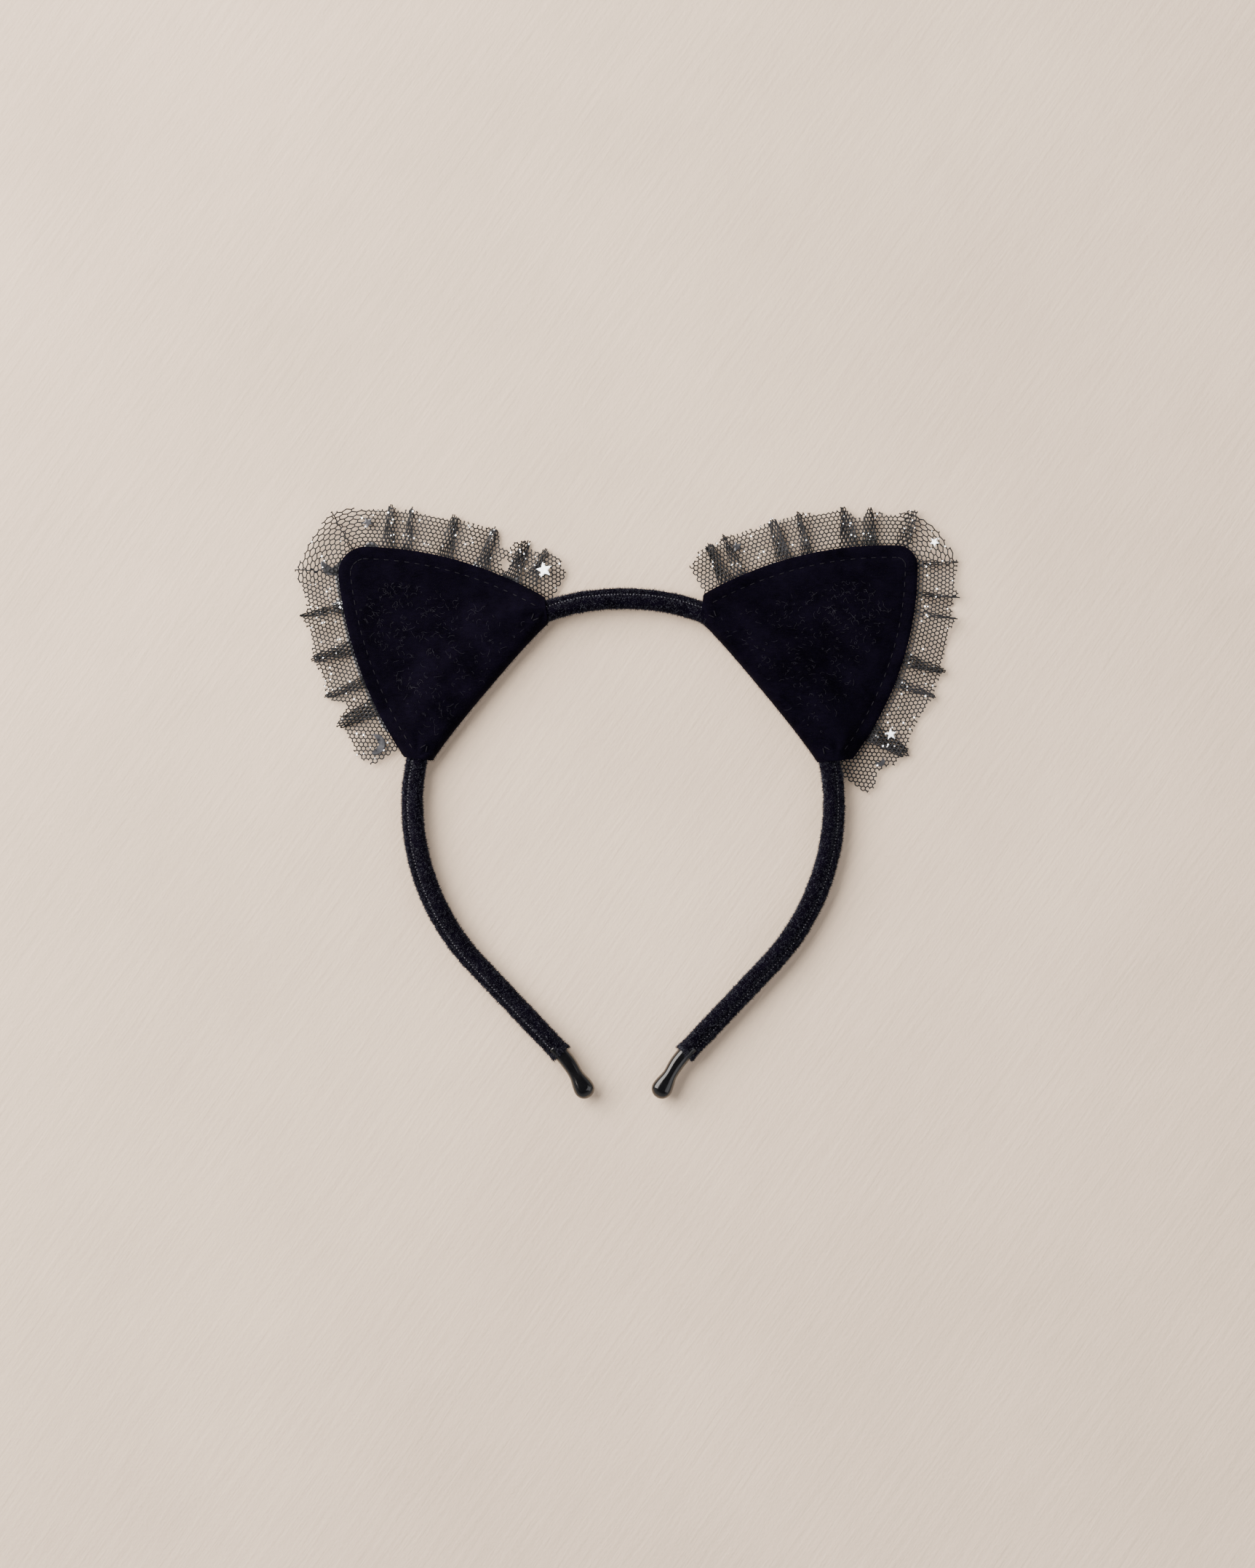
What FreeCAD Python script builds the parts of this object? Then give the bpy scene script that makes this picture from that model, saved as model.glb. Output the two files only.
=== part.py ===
"""Cat-ears headband: a sprung steel strip in a velvet sleeve, two velvet ears trimmed with gathered tulle.

Frame, in millimetres: +Z up, the headband lies flat on the plane Z = 0 with its ears towards +Y.
The origin is the centre of the head arc, in that plane. The left ear is on the -X side.
"""
import FreeCAD, Part
import math
import os

import Sketcher

# Driving dimensions, in millimetres and degrees. The name is the cell's alias in the sheet "sizes".
SIZES = [
    ("shoulder_radius", 59.7, "centreline radius of the head arc under the ears"),
    ("crown_radius", 79.0, "centreline radius of the flatter stretch on top"),
    ("crown_turn", 5.3, "half the angle of that stretch"),
    ("arm_radius", 68.0, "centreline radius of each arm below the head arc"),
    ("arm_sweep", 43.5, "angle through which each arm curves in"),
    ("arm_straight", 36.0, "straight stretch of each arm, to the end of its sleeve"),
    ("curl_radius", 25.0, "radius of the outward curl of the tip"),
    ("curl_turn", 13.5, "angle of that curl"),
    ("flex_angle", 8.7, "how far down the arm's arc it bends when the band is opened"),
    ("strip_thickness", 1.2, "spring strip, in the plane of the band"),
    ("strip_width", 4.0, "spring strip, across the plane of the band"),
    ("strip_clearance", 0.1, "room round the strip in its sleeve and caps"),
    ("strip_gap", 0.4, "from a bending point to the strip on each side of it"),
    ("sleeve_width", 5.8, "velvet sleeve, in the plane of the band"),
    ("sleeve_depth", 6.4, "velvet sleeve, across the plane of the band"),
    ("sleeve_round", 2.2, "rounding of the sleeve's long edges"),
    ("sleeve_gap", 1.0, "from a bending point to the sleeve on each side of it"),
    ("seam_offset", 1.2, "sleeve seam, outwards from the centreline"),
    ("seam_width", 0.4, "line of seam stitches"),
    ("seam_stand", 0.2, "how far the seam thread stands above the sleeve"),
    ("cap_neck", 4.6, "tip cap's width where it leaves the sleeve"),
    ("cap_bulb", 6.1, "tip cap's round end, diameter"),
    ("cap_flare", 10.0, "radius of the hollow between neck and bulb"),
    ("cap_straight", 9.4, "tip cap, from its curl to its end"),
    ("cap_depth", 6.4, "tip cap, across the plane of the band"),
    ("cap_round", 2.0, "rounding of the tip cap"),
    ("socket_depth", 3.5, "how far the strip goes into the cap beyond its curl"),
    ("cover_thickness", 0.8, "velvet of the ear cover"),
    ("cover_clearance", 0.3, "between the ear cover and the sleeve that it wraps"),
    ("layer_gap", 0.05, "between layers that are sewn flat on each other"),
    ("fold_round", 1.6, "outer rounding of the fold along the ear's base"),
    ("ear_angle", 40.0, "the ear's axis above the X axis"),
    ("base_slack", 0.75, "room between the fold along the ear's base and the sleeve at its two ends"),
    ("base_half", 24.0, "half the straight base of the ear"),
    ("mouth_half", 31.4, "half the distance between the outer corners of the two mouths"),
    ("mouth_rise", 6.6, "outer mouth corner above the base line"),
    ("ear_length", 58.6, "base line to the ear's tip"),
    ("tip_shift", 2.6, "tip, from the ear's axis towards the crown"),
    ("tip_radius", 7.0, "rounding of the ear's tip"),
    ("side_radius", 108.0, "curve of the ear's two long sides"),
    ("shoulder_run", 9.8, "how far the front of the ear takes to drop from the band to the sewn layers"),
    ("stiffener_gap", 0.8, "from the band's outer edge to the lower edge of the felt stiffener"),
    ("stiffener_thickness", 1.0, "felt stiffener"),
    ("header_depth", 3.0, "tulle caught between the ear's layers"),
    ("header_thickness", 0.4, "gathered tulle, pressed flat"),
    ("header_reach", 0.5, "how far the header runs on under the loose part of the ruffle"),
    ("frill_width", 12.0, "tulle ruffle outside the ear"),
    ("frill_clearance", 0.2, "between the ear's edge and the loose part of the ruffle"),
    ("frill_low", 0.3, "underside of the ruffle's pleats above the table"),
    ("frill_depth", 2.4, "height of the ruffle's pleats"),
    ("topstitch_inset", 3.6, "row of stitches inside the ear's edge"),
    ("stitch_length", 2.2, "one stitch"),
    ("stitch_pitch", 3.1, "from stitch to stitch"),
    ("thread_diameter", 0.35, "sewing thread"),
    ("gather_inset", 1.6, "gathering thread inside the ear's edge"),
    ("tack_length", 2.6, "tack stitch that ties a mouth to the sleeve"),
    ("tack_slant", 0.35, "tack stitch's rise towards the tip for its length along the base"),
    ("star_radius", 2.1, "star sequin, centre to point"),
    ("star_waist", 0.9, "star sequin, centre to notch"),
    ("moon_radius", 2.9, "crescent sequin's outer curve"),
    ("moon_inner", 2.5, "crescent sequin's inner curve"),
    ("moon_shift", 1.3, "inner curve's centre from the outer one's"),
    ("sequin_thickness", 0.15, "foil sequin"),
]

LEFT, RIGHT = -1, 1
SIDES = {"left": LEFT, "right": RIGHT}

EDGE_POINTS = 400  # even points that an ear's sewn edge is divided into
GATHERS = 10  # even lengths that its gathering thread is drawn in
NEAR = 0.01  # lengths closer than this are equal

# Sequins on each ruffle: (share of the way along the ear's edge from the lower mouth to the crown's,
# distance out from that edge to the sequin's centre, turn in degrees).
STARS = {
    "left": [(0.389, 2.5, 10), (0.568, 7.2, 30), (0.824, 2.5, 70), (0.970, 6.5, 20)],
    "right": [(0.103, 7.0, 5), (0.494, 9.0, 40), (0.873, 8.8, 15)],
}
MOONS = {
    "left": [(0.062, 5.4, -60), (0.478, 3.6, 165), (0.905, 3.6, 80)],
    "right": [(0.041, 8.6, 120)],
}

doc = FreeCAD.newDocument("ears_headband")
sizes = doc.addObject("Spreadsheet::Sheet", "sizes")
for row, (alias, number, note) in enumerate(SIZES, start=1):
    sizes.set(f"A{row}", note)
    sizes.set(f"B{row}", str(number))
    sizes.setAlias(f"B{row}", alias)
doc.recompute()

# Lengths that follow from the sheet, as texts for expressions.
MID = "(sizes.cover_thickness + sizes.cover_clearance + sizes.sleeve_depth / 2)"
EAR_DEPTH = "(2 * sizes.cover_thickness + 2 * sizes.cover_clearance + sizes.sleeve_depth)"
HEADER_LOW = "(sizes.cover_thickness + sizes.layer_gap)"
STIFFENER_LOW = f"({HEADER_LOW} + sizes.header_thickness + sizes.layer_gap)"
FRONT_LOW = f"({STIFFENER_LOW} + sizes.stiffener_thickness + sizes.layer_gap)"
FRONT_TOP = f"({FRONT_LOW} + sizes.cover_thickness)"
FRILL_TOP = "(sizes.frill_low + sizes.frill_depth)"
PAST = "2"  # how far a cutting shape reaches past what it cuts
WIDE = "(4 * sizes.mouth_half)"  # well over the width of an ear


def length(text):
    """The number that an expression gives for the sizes in the sheet."""
    return float(ruler.evalExpression(text))


ruler = doc.addObject("App::FeaturePython", "ruler")


# ---------------------------------------------------------------- sketches and features

def plane_of(body, role):
    return next(f for f in body.Origin.OriginFeatures if f.Role == role)


def new_body(label):
    body = doc.addObject("PartDesign::Body", label)
    body.Label = label
    return body


def new_sketch(body, name, role="XY_Plane", height=None):
    """An empty sketch on one of the body's own planes, raised by an expression."""
    sketch = body.newObject("Sketcher::SketchObject", f"{body.Name}_{name}")
    sketch.AttachmentSupport = [(plane_of(body, role), "")]
    sketch.MapMode = "FlatFace"
    if height:
        sketch.setExpression("AttachmentOffset.Base.z", height)
    return sketch


def bind(sketch, constraint, name, text):
    """Adds a constraint and ties its value to an expression."""
    index = sketch.addConstraint(constraint)
    sketch.renameConstraint(index, name)
    sketch.setExpression(f"Constraints.{name}", text)


def arc_between(start, end, radius, turn):
    """The arc of less than half a turn from start to end; turn is 1 anticlockwise and -1 clockwise."""
    first, last = (start, end) if turn > 0 else (end, start)
    chord = last - first
    rise = math.sqrt(max(radius ** 2 - (chord.Length / 2) ** 2, 0))
    centre = (first + last) / 2 + FreeCAD.Vector(-chord.y, chord.x, 0).normalize() * rise
    circle = Part.Circle(centre, FreeCAD.Vector(0, 0, 1), radius)
    angles = [math.atan2(p.y - centre.y, p.x - centre.x) for p in (first, last)]
    return Part.ArcOfCircle(circle, angles[0], angles[1])


def draw_outline(sketch, corners, edges):
    """A closed outline whose corners and radii are expressions.

    corners holds (x text, y text). Edge i runs from corner i to the next: None is a line, and
    (radius text, turn) an arc."""
    points = [FreeCAD.Vector(length(x), length(y), 0) for x, y in corners]
    count = len(corners)
    ends = []
    for i, edge in enumerate(edges):
        start, end = points[i], points[(i + 1) % count]
        if edge is None:
            ends.append((sketch.addGeometry(Part.LineSegment(start, end), False), 1, 2))
            continue
        radius, turn = edge
        arc = sketch.addGeometry(arc_between(start, end, length(radius), turn), False)
        ends.append((arc, 1, 2) if turn > 0 else (arc, 2, 1))
    for i in range(count):
        (before, _, before_end), (after, after_start, _) = ends[i - 1], ends[i]
        sketch.addConstraint(Sketcher.Constraint("Coincident", before, before_end, after, after_start))
        x, y = corners[i]
        bind(sketch, Sketcher.Constraint("DistanceX", -1, 1, after, after_start, points[i].x), f"x{i}", x)
        bind(sketch, Sketcher.Constraint("DistanceY", -1, 1, after, after_start, points[i].y), f"y{i}", y)
    for i, edge in enumerate(edges):
        if edge is not None:
            bind(sketch, Sketcher.Constraint("Radius", ends[i][0], length(edge[0])), f"r{i}", edge[0])


def pad(body, sketch, thickness, both_ways=False):
    feature = body.newObject("PartDesign::Pad", f"{body.Name}_pad")
    feature.Profile = sketch
    feature.setExpression("Length", thickness)
    if both_ways:
        feature.SideType = "Symmetric"
    sketch.Visibility = False
    return feature


def pocket(body, sketch, depth):
    """Cuts the sketch's shape both ways from its plane."""
    feature = body.newObject("PartDesign::Pocket", f"{body.Name}_pocket")
    feature.Profile = sketch
    feature.setExpression("Length", depth)
    feature.SideType = "Symmetric"
    return feature


def round_edges(body, base, radius, wanted):
    """Fillets the edges of base for which wanted(edge) is true."""
    doc.recompute()
    names = [f"Edge{i + 1}" for i, edge in enumerate(base.Shape.Edges) if wanted(edge)]
    feature = body.newObject("PartDesign::Fillet", f"{body.Name}_fillet")
    feature.Base = (base, names)
    feature.setExpression("Radius", radius)
    return feature


def is_level(edge):
    """True for an edge that lies in one horizontal plane."""
    return edge.BoundBox.ZLength < NEAR


# ---------------------------------------------------------------- the band's path

CROWN_DROP = "((sizes.crown_radius - sizes.shoulder_radius) * cos(sizes.crown_turn))"
CROWN_SHIFT = "((sizes.crown_radius - sizes.shoulder_radius) * sin(sizes.crown_turn))"
HALF_SPAN = f"(sizes.shoulder_radius + {CROWN_SHIFT})"

# The ear's base line is a chord inside the band. Distances along the ear's axis: EAR_DISTANCE is from the head
# centre, and BAND_EDGE and the two shoulders are from the base line.
AXIS_SHIFT = f"({CROWN_SHIFT} * cos(sizes.ear_angle))"
BASE_CHORD = "sqrt((sizes.shoulder_radius - sizes.sleeve_width / 2)^2 - sizes.base_half^2)"
COVER_ROOM = "(sizes.cover_thickness + sizes.cover_clearance)"
EAR_DISTANCE = f"({AXIS_SHIFT} + {BASE_CHORD} - {COVER_ROOM} - sizes.base_slack)"
BAND_EDGE = f"({AXIS_SHIFT} + sizes.shoulder_radius + sizes.sleeve_width / 2 - {EAR_DISTANCE})"
SHOULDER_START = f"({BAND_EDGE} + sizes.cover_clearance)"
SHOULDER_END = f"({SHOULDER_START} + sizes.shoulder_run)"


def outward(angle):
    """The outward direction at an angle down the arm, as texts, for the left side."""
    return f"(-cos({angle}))", f"(-sin({angle}))"


def arm_point(side, angle, offset):
    """A point of the arm's arc, offset outwards."""
    nx, ny = outward(angle)
    centre = f"(sizes.arm_radius - {HALF_SPAN})"
    reach = f"(sizes.arm_radius + {offset})"
    return f"{-side} * ({centre} + {reach} * {nx})", f"{reach} * {ny}"


def sleeve_end(side, offset):
    """Where the arm's straight stretch and its sleeve end, offset outwards."""
    x, y = arm_point(side, "sizes.arm_sweep", offset)
    along = "sizes.arm_straight"
    return f"{x} + {-side} * {along} * sin(sizes.arm_sweep)", f"{y} - {along} * cos(sizes.arm_sweep)"


def tip_point(side, offset, beyond):
    """A point of the tip, offset outwards: beyond the end of the curl, along the tip's straight end."""
    angle = "(sizes.arm_sweep - sizes.curl_turn)"
    x, y = sleeve_end(side, "0")
    nx, ny = outward("sizes.arm_sweep")
    mx, my = outward(angle)
    x += f" + {-side} * (sizes.curl_radius * {nx} - (sizes.curl_radius - ({offset})) * {mx}"
    x += f" + ({beyond}) * sin{angle})"
    y += f" + sizes.curl_radius * {ny} - (sizes.curl_radius - ({offset})) * {my} - ({beyond}) * cos{angle}"
    return x, y


def gap_angle(gap):
    """The angle on the arm's arc that an expression of length takes."""
    return f"({gap} / sizes.arm_radius * 180 / pi)"


def crown_outline(sketch, outer, inner, gap):
    """The band from one bending point over the head to the other, between two offsets."""
    stop = f"(sizes.flex_angle - {gap_angle(gap)})"

    def shoulder_top(side, offset):
        reach = f"(sizes.crown_radius + {offset})"
        return f"{side} * {reach} * sin(sizes.crown_turn)", f"{reach} * cos(sizes.crown_turn) - {CROWN_DROP}"

    def run(offset, sides):
        first, last = sides
        return [
            arm_point(first, stop, offset),
            (f"{first} * ({HALF_SPAN} + {offset})", "0"),
            shoulder_top(first, offset),
            shoulder_top(last, offset),
            (f"{last} * ({HALF_SPAN} + {offset})", "0"),
            arm_point(last, stop, offset),
        ]

    def bends(offset, turn):
        radii = ["arm", "shoulder", "crown", "shoulder", "arm"]
        return [(f"sizes.{name}_radius + {offset}", turn) for name in radii]

    corners = run(outer, (LEFT, RIGHT)) + run(inner, (RIGHT, LEFT))
    draw_outline(sketch, corners, bends(outer, -1) + [None] + bends(inner, 1) + [None])


def arm_outline(sketch, side, outer, inner, gap, tail=None):
    """One arm from its bending point to the end of the sleeve, or through the tip's curl and on by tail."""
    start = f"(sizes.flex_angle + {gap_angle(gap)})"
    turn = -side

    def run(offset):
        points = [arm_point(side, start, offset), arm_point(side, "sizes.arm_sweep", offset)]
        points.append(sleeve_end(side, offset))
        return points + [tip_point(side, offset, "0"), tip_point(side, offset, tail)] if tail else points

    def bends(offset):
        edges = [(f"sizes.arm_radius + {offset}", turn), None]
        return edges + [(f"sizes.curl_radius - ({offset})", -turn), None] if tail else edges

    back = [edge and (edge[0], -edge[1]) for edge in reversed(bends(inner))]
    corners = run(outer) + list(reversed(run(inner)))
    draw_outline(sketch, corners, bends(outer) + [None] + back + [None])


def band_outline(sketch, span, outer, inner, gap, tail=None):
    if span == "crown":
        crown_outline(sketch, outer, inner, gap)
    else:
        arm_outline(sketch, SIDES[span], outer, inner, gap, tail)


# ---------------------------------------------------------------- band pieces

def make_strip(span):
    """Spring-steel strip that gives the headband its shape and grip."""
    body = new_body(f"spring_strip_{span}")
    sketch = new_sketch(body, "plan", height=MID)
    half = "sizes.strip_thickness / 2"
    band_outline(sketch, span, half, f"-{half}", "sizes.strip_gap", "sizes.socket_depth")
    pad(body, sketch, "sizes.strip_width", both_ways=True)
    return body


def make_sleeve(span):
    """Velvet sleeve with a slot for the strip."""
    body = new_body(f"velvet_sleeve_{span}")
    sketch = new_sketch(body, "plan", height=MID)
    half = "sizes.sleeve_width / 2"
    band_outline(sketch, span, half, f"-{half}", "sizes.sleeve_gap")
    solid = pad(body, sketch, "sizes.sleeve_depth", both_ways=True)
    end_width = length("sizes.sleeve_width")

    def runs_along(edge):
        return is_level(edge) and edge.Length > end_width + NEAR

    round_edges(body, solid, "sizes.sleeve_round", runs_along)
    slot = new_sketch(body, "slot", height=MID)
    half = "(sizes.strip_thickness / 2 + sizes.strip_clearance)"
    band_outline(slot, span, half, f"-{half}", "sizes.sleeve_gap")
    pocket(body, slot, "sizes.strip_width + 2 * sizes.strip_clearance")
    return body


def make_seam(span):
    """Line of fine stitches that closes the sleeve."""
    body = new_body(f"sleeve_seam_thread_{span}")
    sketch = new_sketch(body, "plan", height=f"{MID} + sizes.sleeve_depth / 2 - sizes.seam_stand")
    outer = "(sizes.seam_offset + sizes.seam_width / 2)"
    inner = "(sizes.seam_offset - sizes.seam_width / 2)"
    band_outline(sketch, span, outer, inner, "sizes.sleeve_gap")
    pad(body, sketch, "2 * sizes.seam_stand")
    return body


def make_cap(span):
    """Glossy cap with a curled neck and a round end, pushed on the strip's end."""
    side = SIDES[span]
    turn = -side
    body = new_body(f"tip_cap_{span}")
    sketch = new_sketch(body, "plan", height=MID)
    neck, bulb = "(sizes.cap_neck / 2)", "(sizes.cap_bulb / 2)"
    flare, curl = "sizes.cap_flare", "sizes.curl_radius"
    centre = f"(sizes.cap_straight - {bulb})"
    rise = f"sqrt(({flare} + {bulb})^2 - ({neck} + {flare})^2)"
    touch_out = f"({bulb} * ({neck} + {flare}) / ({flare} + {bulb}))"
    touch_on = f"({centre} - {bulb} * {rise} / ({flare} + {bulb}))"
    waist = f"({centre} - {rise})"
    corners = [sleeve_end(side, neck), tip_point(side, neck, "0"), tip_point(side, neck, waist)]
    corners += [tip_point(side, touch_out, touch_on), tip_point(side, "0", f"{centre} + {bulb}")]
    corners += [tip_point(side, f"-{touch_out}", touch_on), tip_point(side, f"-{neck}", waist)]
    corners += [tip_point(side, f"-{neck}", "0"), sleeve_end(side, f"-{neck}")]
    outer_curl, inner_curl = (f"{curl} - {neck}", -turn), (f"{curl} + {neck}", turn)
    hollow, round_end = (flare, -turn), (bulb, turn)
    edges = [outer_curl, None, hollow, round_end, round_end, hollow, None, inner_curl, None]
    draw_outline(sketch, corners, edges)
    solid = pad(body, sketch, "sizes.cap_depth", both_ways=True)
    mouth = [FreeCAD.Vector(length(x), length(y), 0) for x, y in (corners[0], corners[-1])]

    def is_outline(edge):
        ends = [FreeCAD.Vector(v.X, v.Y, 0) for v in edge.Vertexes]
        at_mouth = all(min((end - corner).Length for corner in mouth) < NEAR for end in ends)
        return is_level(edge) and not at_mouth

    round_edges(body, solid, "sizes.cap_round", is_outline)
    socket = new_sketch(body, "socket", height=MID)
    half = "(sizes.strip_thickness / 2 + sizes.strip_clearance)"
    deep = "sizes.socket_depth + sizes.strip_clearance"
    socket_corners = [sleeve_end(side, half), tip_point(side, half, "0"), tip_point(side, half, deep)]
    socket_corners += [tip_point(side, f"-{half}", deep), tip_point(side, f"-{half}", "0")]
    socket_corners += [sleeve_end(side, f"-{half}")]
    outer_curl, inner_curl = (f"{curl} - {half}", -turn), (f"{curl} + {half}", turn)
    draw_outline(socket, socket_corners, [outer_curl, None, None, None, inner_curl, None])
    pocket(body, socket, "sizes.strip_width + 2 * sizes.strip_clearance")
    return body


# ---------------------------------------------------------------- ear pieces, in the ear's own frame
# Local Y runs from the base line to the tip and local X along the base.

def ear_placement(side):
    angle = length("sizes.ear_angle")
    reach = length(EAR_DISTANCE)
    slope = math.radians(angle)
    place = FreeCAD.Vector(side * reach * math.cos(slope), reach * math.sin(slope), 0)
    return FreeCAD.Placement(place, FreeCAD.Rotation(FreeCAD.Vector(0, 0, 1), -side * (90 - angle)))


def side_arc(corner, tip, tip_radius, side_radius, hand):
    """The long side from the mouth's corner to the tip's rounding, which it touches."""
    across = tip - corner
    near, far = side_radius, side_radius - tip_radius
    along = (near ** 2 - far ** 2 + across.Length ** 2) / (2 * across.Length)
    off = math.sqrt(near ** 2 - along ** 2)
    unit = across / across.Length
    centre = corner + unit * along + FreeCAD.Vector(-unit.y, unit.x, 0) * off * hand
    touch = centre + (tip - centre).normalize() * side_radius
    return centre, touch


def draw_ear(sketch, side):
    """The ear's outline: straight base, two slanting mouths, two long curves and a rounded tip."""
    half, wide, rise = (length(f"sizes.{n}") for n in ("base_half", "mouth_half", "mouth_rise"))
    r_tip, r_side = length("sizes.tip_radius"), length("sizes.side_radius")
    tip = FreeCAD.Vector(-side * length("sizes.tip_shift"), length("sizes.ear_length") - r_tip, 0)
    right, left = FreeCAD.Vector(wide, rise, 0), FreeCAD.Vector(-wide, rise, 0)
    _, touch_right = side_arc(right, tip, r_tip, r_side, 1)
    _, touch_left = side_arc(left, tip, r_tip, r_side, -1)
    line, add = Part.LineSegment, sketch.addConstraint
    base_left, base_right = FreeCAD.Vector(-half, 0, 0), FreeCAD.Vector(half, 0, 0)
    base = sketch.addGeometry(line(base_left, base_right), False)
    mouth_right = sketch.addGeometry(line(base_right, right), False)
    curve_right = sketch.addGeometry(arc_between(right, touch_right, r_side, 1), False)
    top = sketch.addGeometry(arc_between(touch_right, touch_left, r_tip, 1), False)
    curve_left = sketch.addGeometry(arc_between(touch_left, left, r_side, 1), False)
    mouth_left = sketch.addGeometry(line(left, base_left), False)
    join = Sketcher.Constraint
    add(join("Coincident", base, 2, mouth_right, 1))
    add(join("Coincident", mouth_right, 2, curve_right, 1))
    add(join("Tangent", curve_right, 2, top, 1))
    add(join("Tangent", top, 2, curve_left, 1))
    add(join("Coincident", curve_left, 2, mouth_left, 1))
    add(join("Coincident", mouth_left, 2, base, 1))
    places = [
        ("base_a", base, 1, "-sizes.base_half", "0"), ("base_b", base, 2, "sizes.base_half", "0"),
        ("mouth_a", mouth_left, 1, "-sizes.mouth_half", "sizes.mouth_rise"),
        ("mouth_b", mouth_right, 2, "sizes.mouth_half", "sizes.mouth_rise"),
        ("tip", top, 3, f"{-side} * sizes.tip_shift", "sizes.ear_length - sizes.tip_radius"),
    ]
    for name, geometry, end, x, y in places:
        bind(sketch, join("DistanceX", -1, 1, geometry, end, length(x)), f"{name}_x", x)
        bind(sketch, join("DistanceY", -1, 1, geometry, end, length(y)), f"{name}_y", y)
    bind(sketch, join("Radius", top, r_tip), "tip_round", "sizes.tip_radius")
    bind(sketch, join("Radius", curve_right, r_side), "side_b", "sizes.side_radius")
    bind(sketch, join("Radius", curve_left, r_side), "side_a", "sizes.side_radius")


def make_cover(span):
    """Velvet folded over the band along the ear's base, its front draped off the band to the sewn edges."""
    side = SIDES[span]
    body = new_body(f"ear_cover_{span}")
    plan = new_sketch(body, "plan")
    draw_ear(plan, side)
    solid = pad(body, plan, EAR_DEPTH)
    round_edges(body, solid, "sizes.fold_round", lambda edge: is_level(edge) and edge.BoundBox.YMax < NEAR)
    far, over = f"(sizes.ear_length + {PAST})", f"({EAR_DEPTH} + {PAST})"
    above = new_sketch(body, "above", "YZ_Plane")
    draw_outline(above, [
        (SHOULDER_START, EAR_DEPTH), (SHOULDER_END, FRONT_TOP), (far, FRONT_TOP), (far, over),
        (SHOULDER_START, over)], [None] * 5)
    pocket(body, above, WIDE)
    inside = new_sketch(body, "inside", "YZ_Plane")
    wall, bend = "sizes.cover_thickness", "(sizes.fold_round - sizes.cover_thickness)"
    roof = f"({EAR_DEPTH} - {wall})"
    draw_outline(inside, [
        (wall, f"{wall} + {bend}"), (f"{wall} + {bend}", wall), (far, wall), (far, FRONT_LOW),
        (SHOULDER_END, FRONT_LOW), (SHOULDER_START, roof), (f"{wall} + {bend}", roof),
        (wall, f"{roof} - {bend}")],
        [(bend, 1), None, None, None, None, None, (bend, 1), None])
    pocket(body, inside, WIDE)
    body.Placement = ear_placement(side)
    return body


def make_stiffener(span):
    """Felt between the ear's layers that keeps it flat and upright."""
    side = SIDES[span]
    body = new_body(f"ear_stiffener_{span}")
    plan = new_sketch(body, "plan", height=STIFFENER_LOW)
    draw_ear(plan, side)
    pad(body, plan, "sizes.stiffener_thickness")
    low = new_sketch(body, "low", height=STIFFENER_LOW)
    below = f"({BAND_EDGE} + sizes.stiffener_gap)"
    corners = [(f"-{WIDE}", f"-{PAST}"), (WIDE, f"-{PAST}"), (WIDE, below), (f"-{WIDE}", below)]
    draw_outline(low, corners, [None] * 4)
    pocket(body, low, EAR_DEPTH)
    body.Placement = ear_placement(side)
    return body


def ear_plan(span):
    """A free sketch of the ear's outline, which the ruffle and its stitches are offset from."""
    sketch = doc.addObject("Sketcher::SketchObject", f"ear_plan_{span}")
    draw_ear(sketch, SIDES[span])
    return sketch


def offset_plate(name, plan, offset, low, thickness):
    """A plate with the ear's outline moved outwards by offset."""
    outline = doc.addObject("Part::Offset2D", f"{name}_outline")
    outline.Source = plan
    outline.Join = "Arc"
    outline.Fill = False
    outline.setExpression("Value", offset)
    plate = doc.addObject("Part::Extrusion", f"{name}_plate")
    plate.Base = outline
    plate.Solid = True
    plate.DirMode = "Custom"
    plate.Dir = FreeCAD.Vector(0, 0, 1)
    plate.setExpression("LengthFwd", thickness)
    plate.setExpression("Placement.Base.z", low)
    return plate


def cut(name, base, tool):
    feature = doc.addObject("Part::Cut", name)
    feature.Base, feature.Tool = base, tool
    return feature


def below_mouths(name, rise):
    """A block over everything nearer the base than the outer mouth corners."""
    block = doc.addObject("Part::Box", name)
    block.setExpression("Length", f"2 * {WIDE}")
    block.setExpression("Width", f"{WIDE} + {rise}")
    block.setExpression("Height", f"3 * {EAR_DEPTH}")
    block.setExpression("Placement.Base.x", f"-{WIDE}")
    block.setExpression("Placement.Base.y", f"-{WIDE}")
    block.setExpression("Placement.Base.z", f"-{EAR_DEPTH}")
    return block


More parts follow.
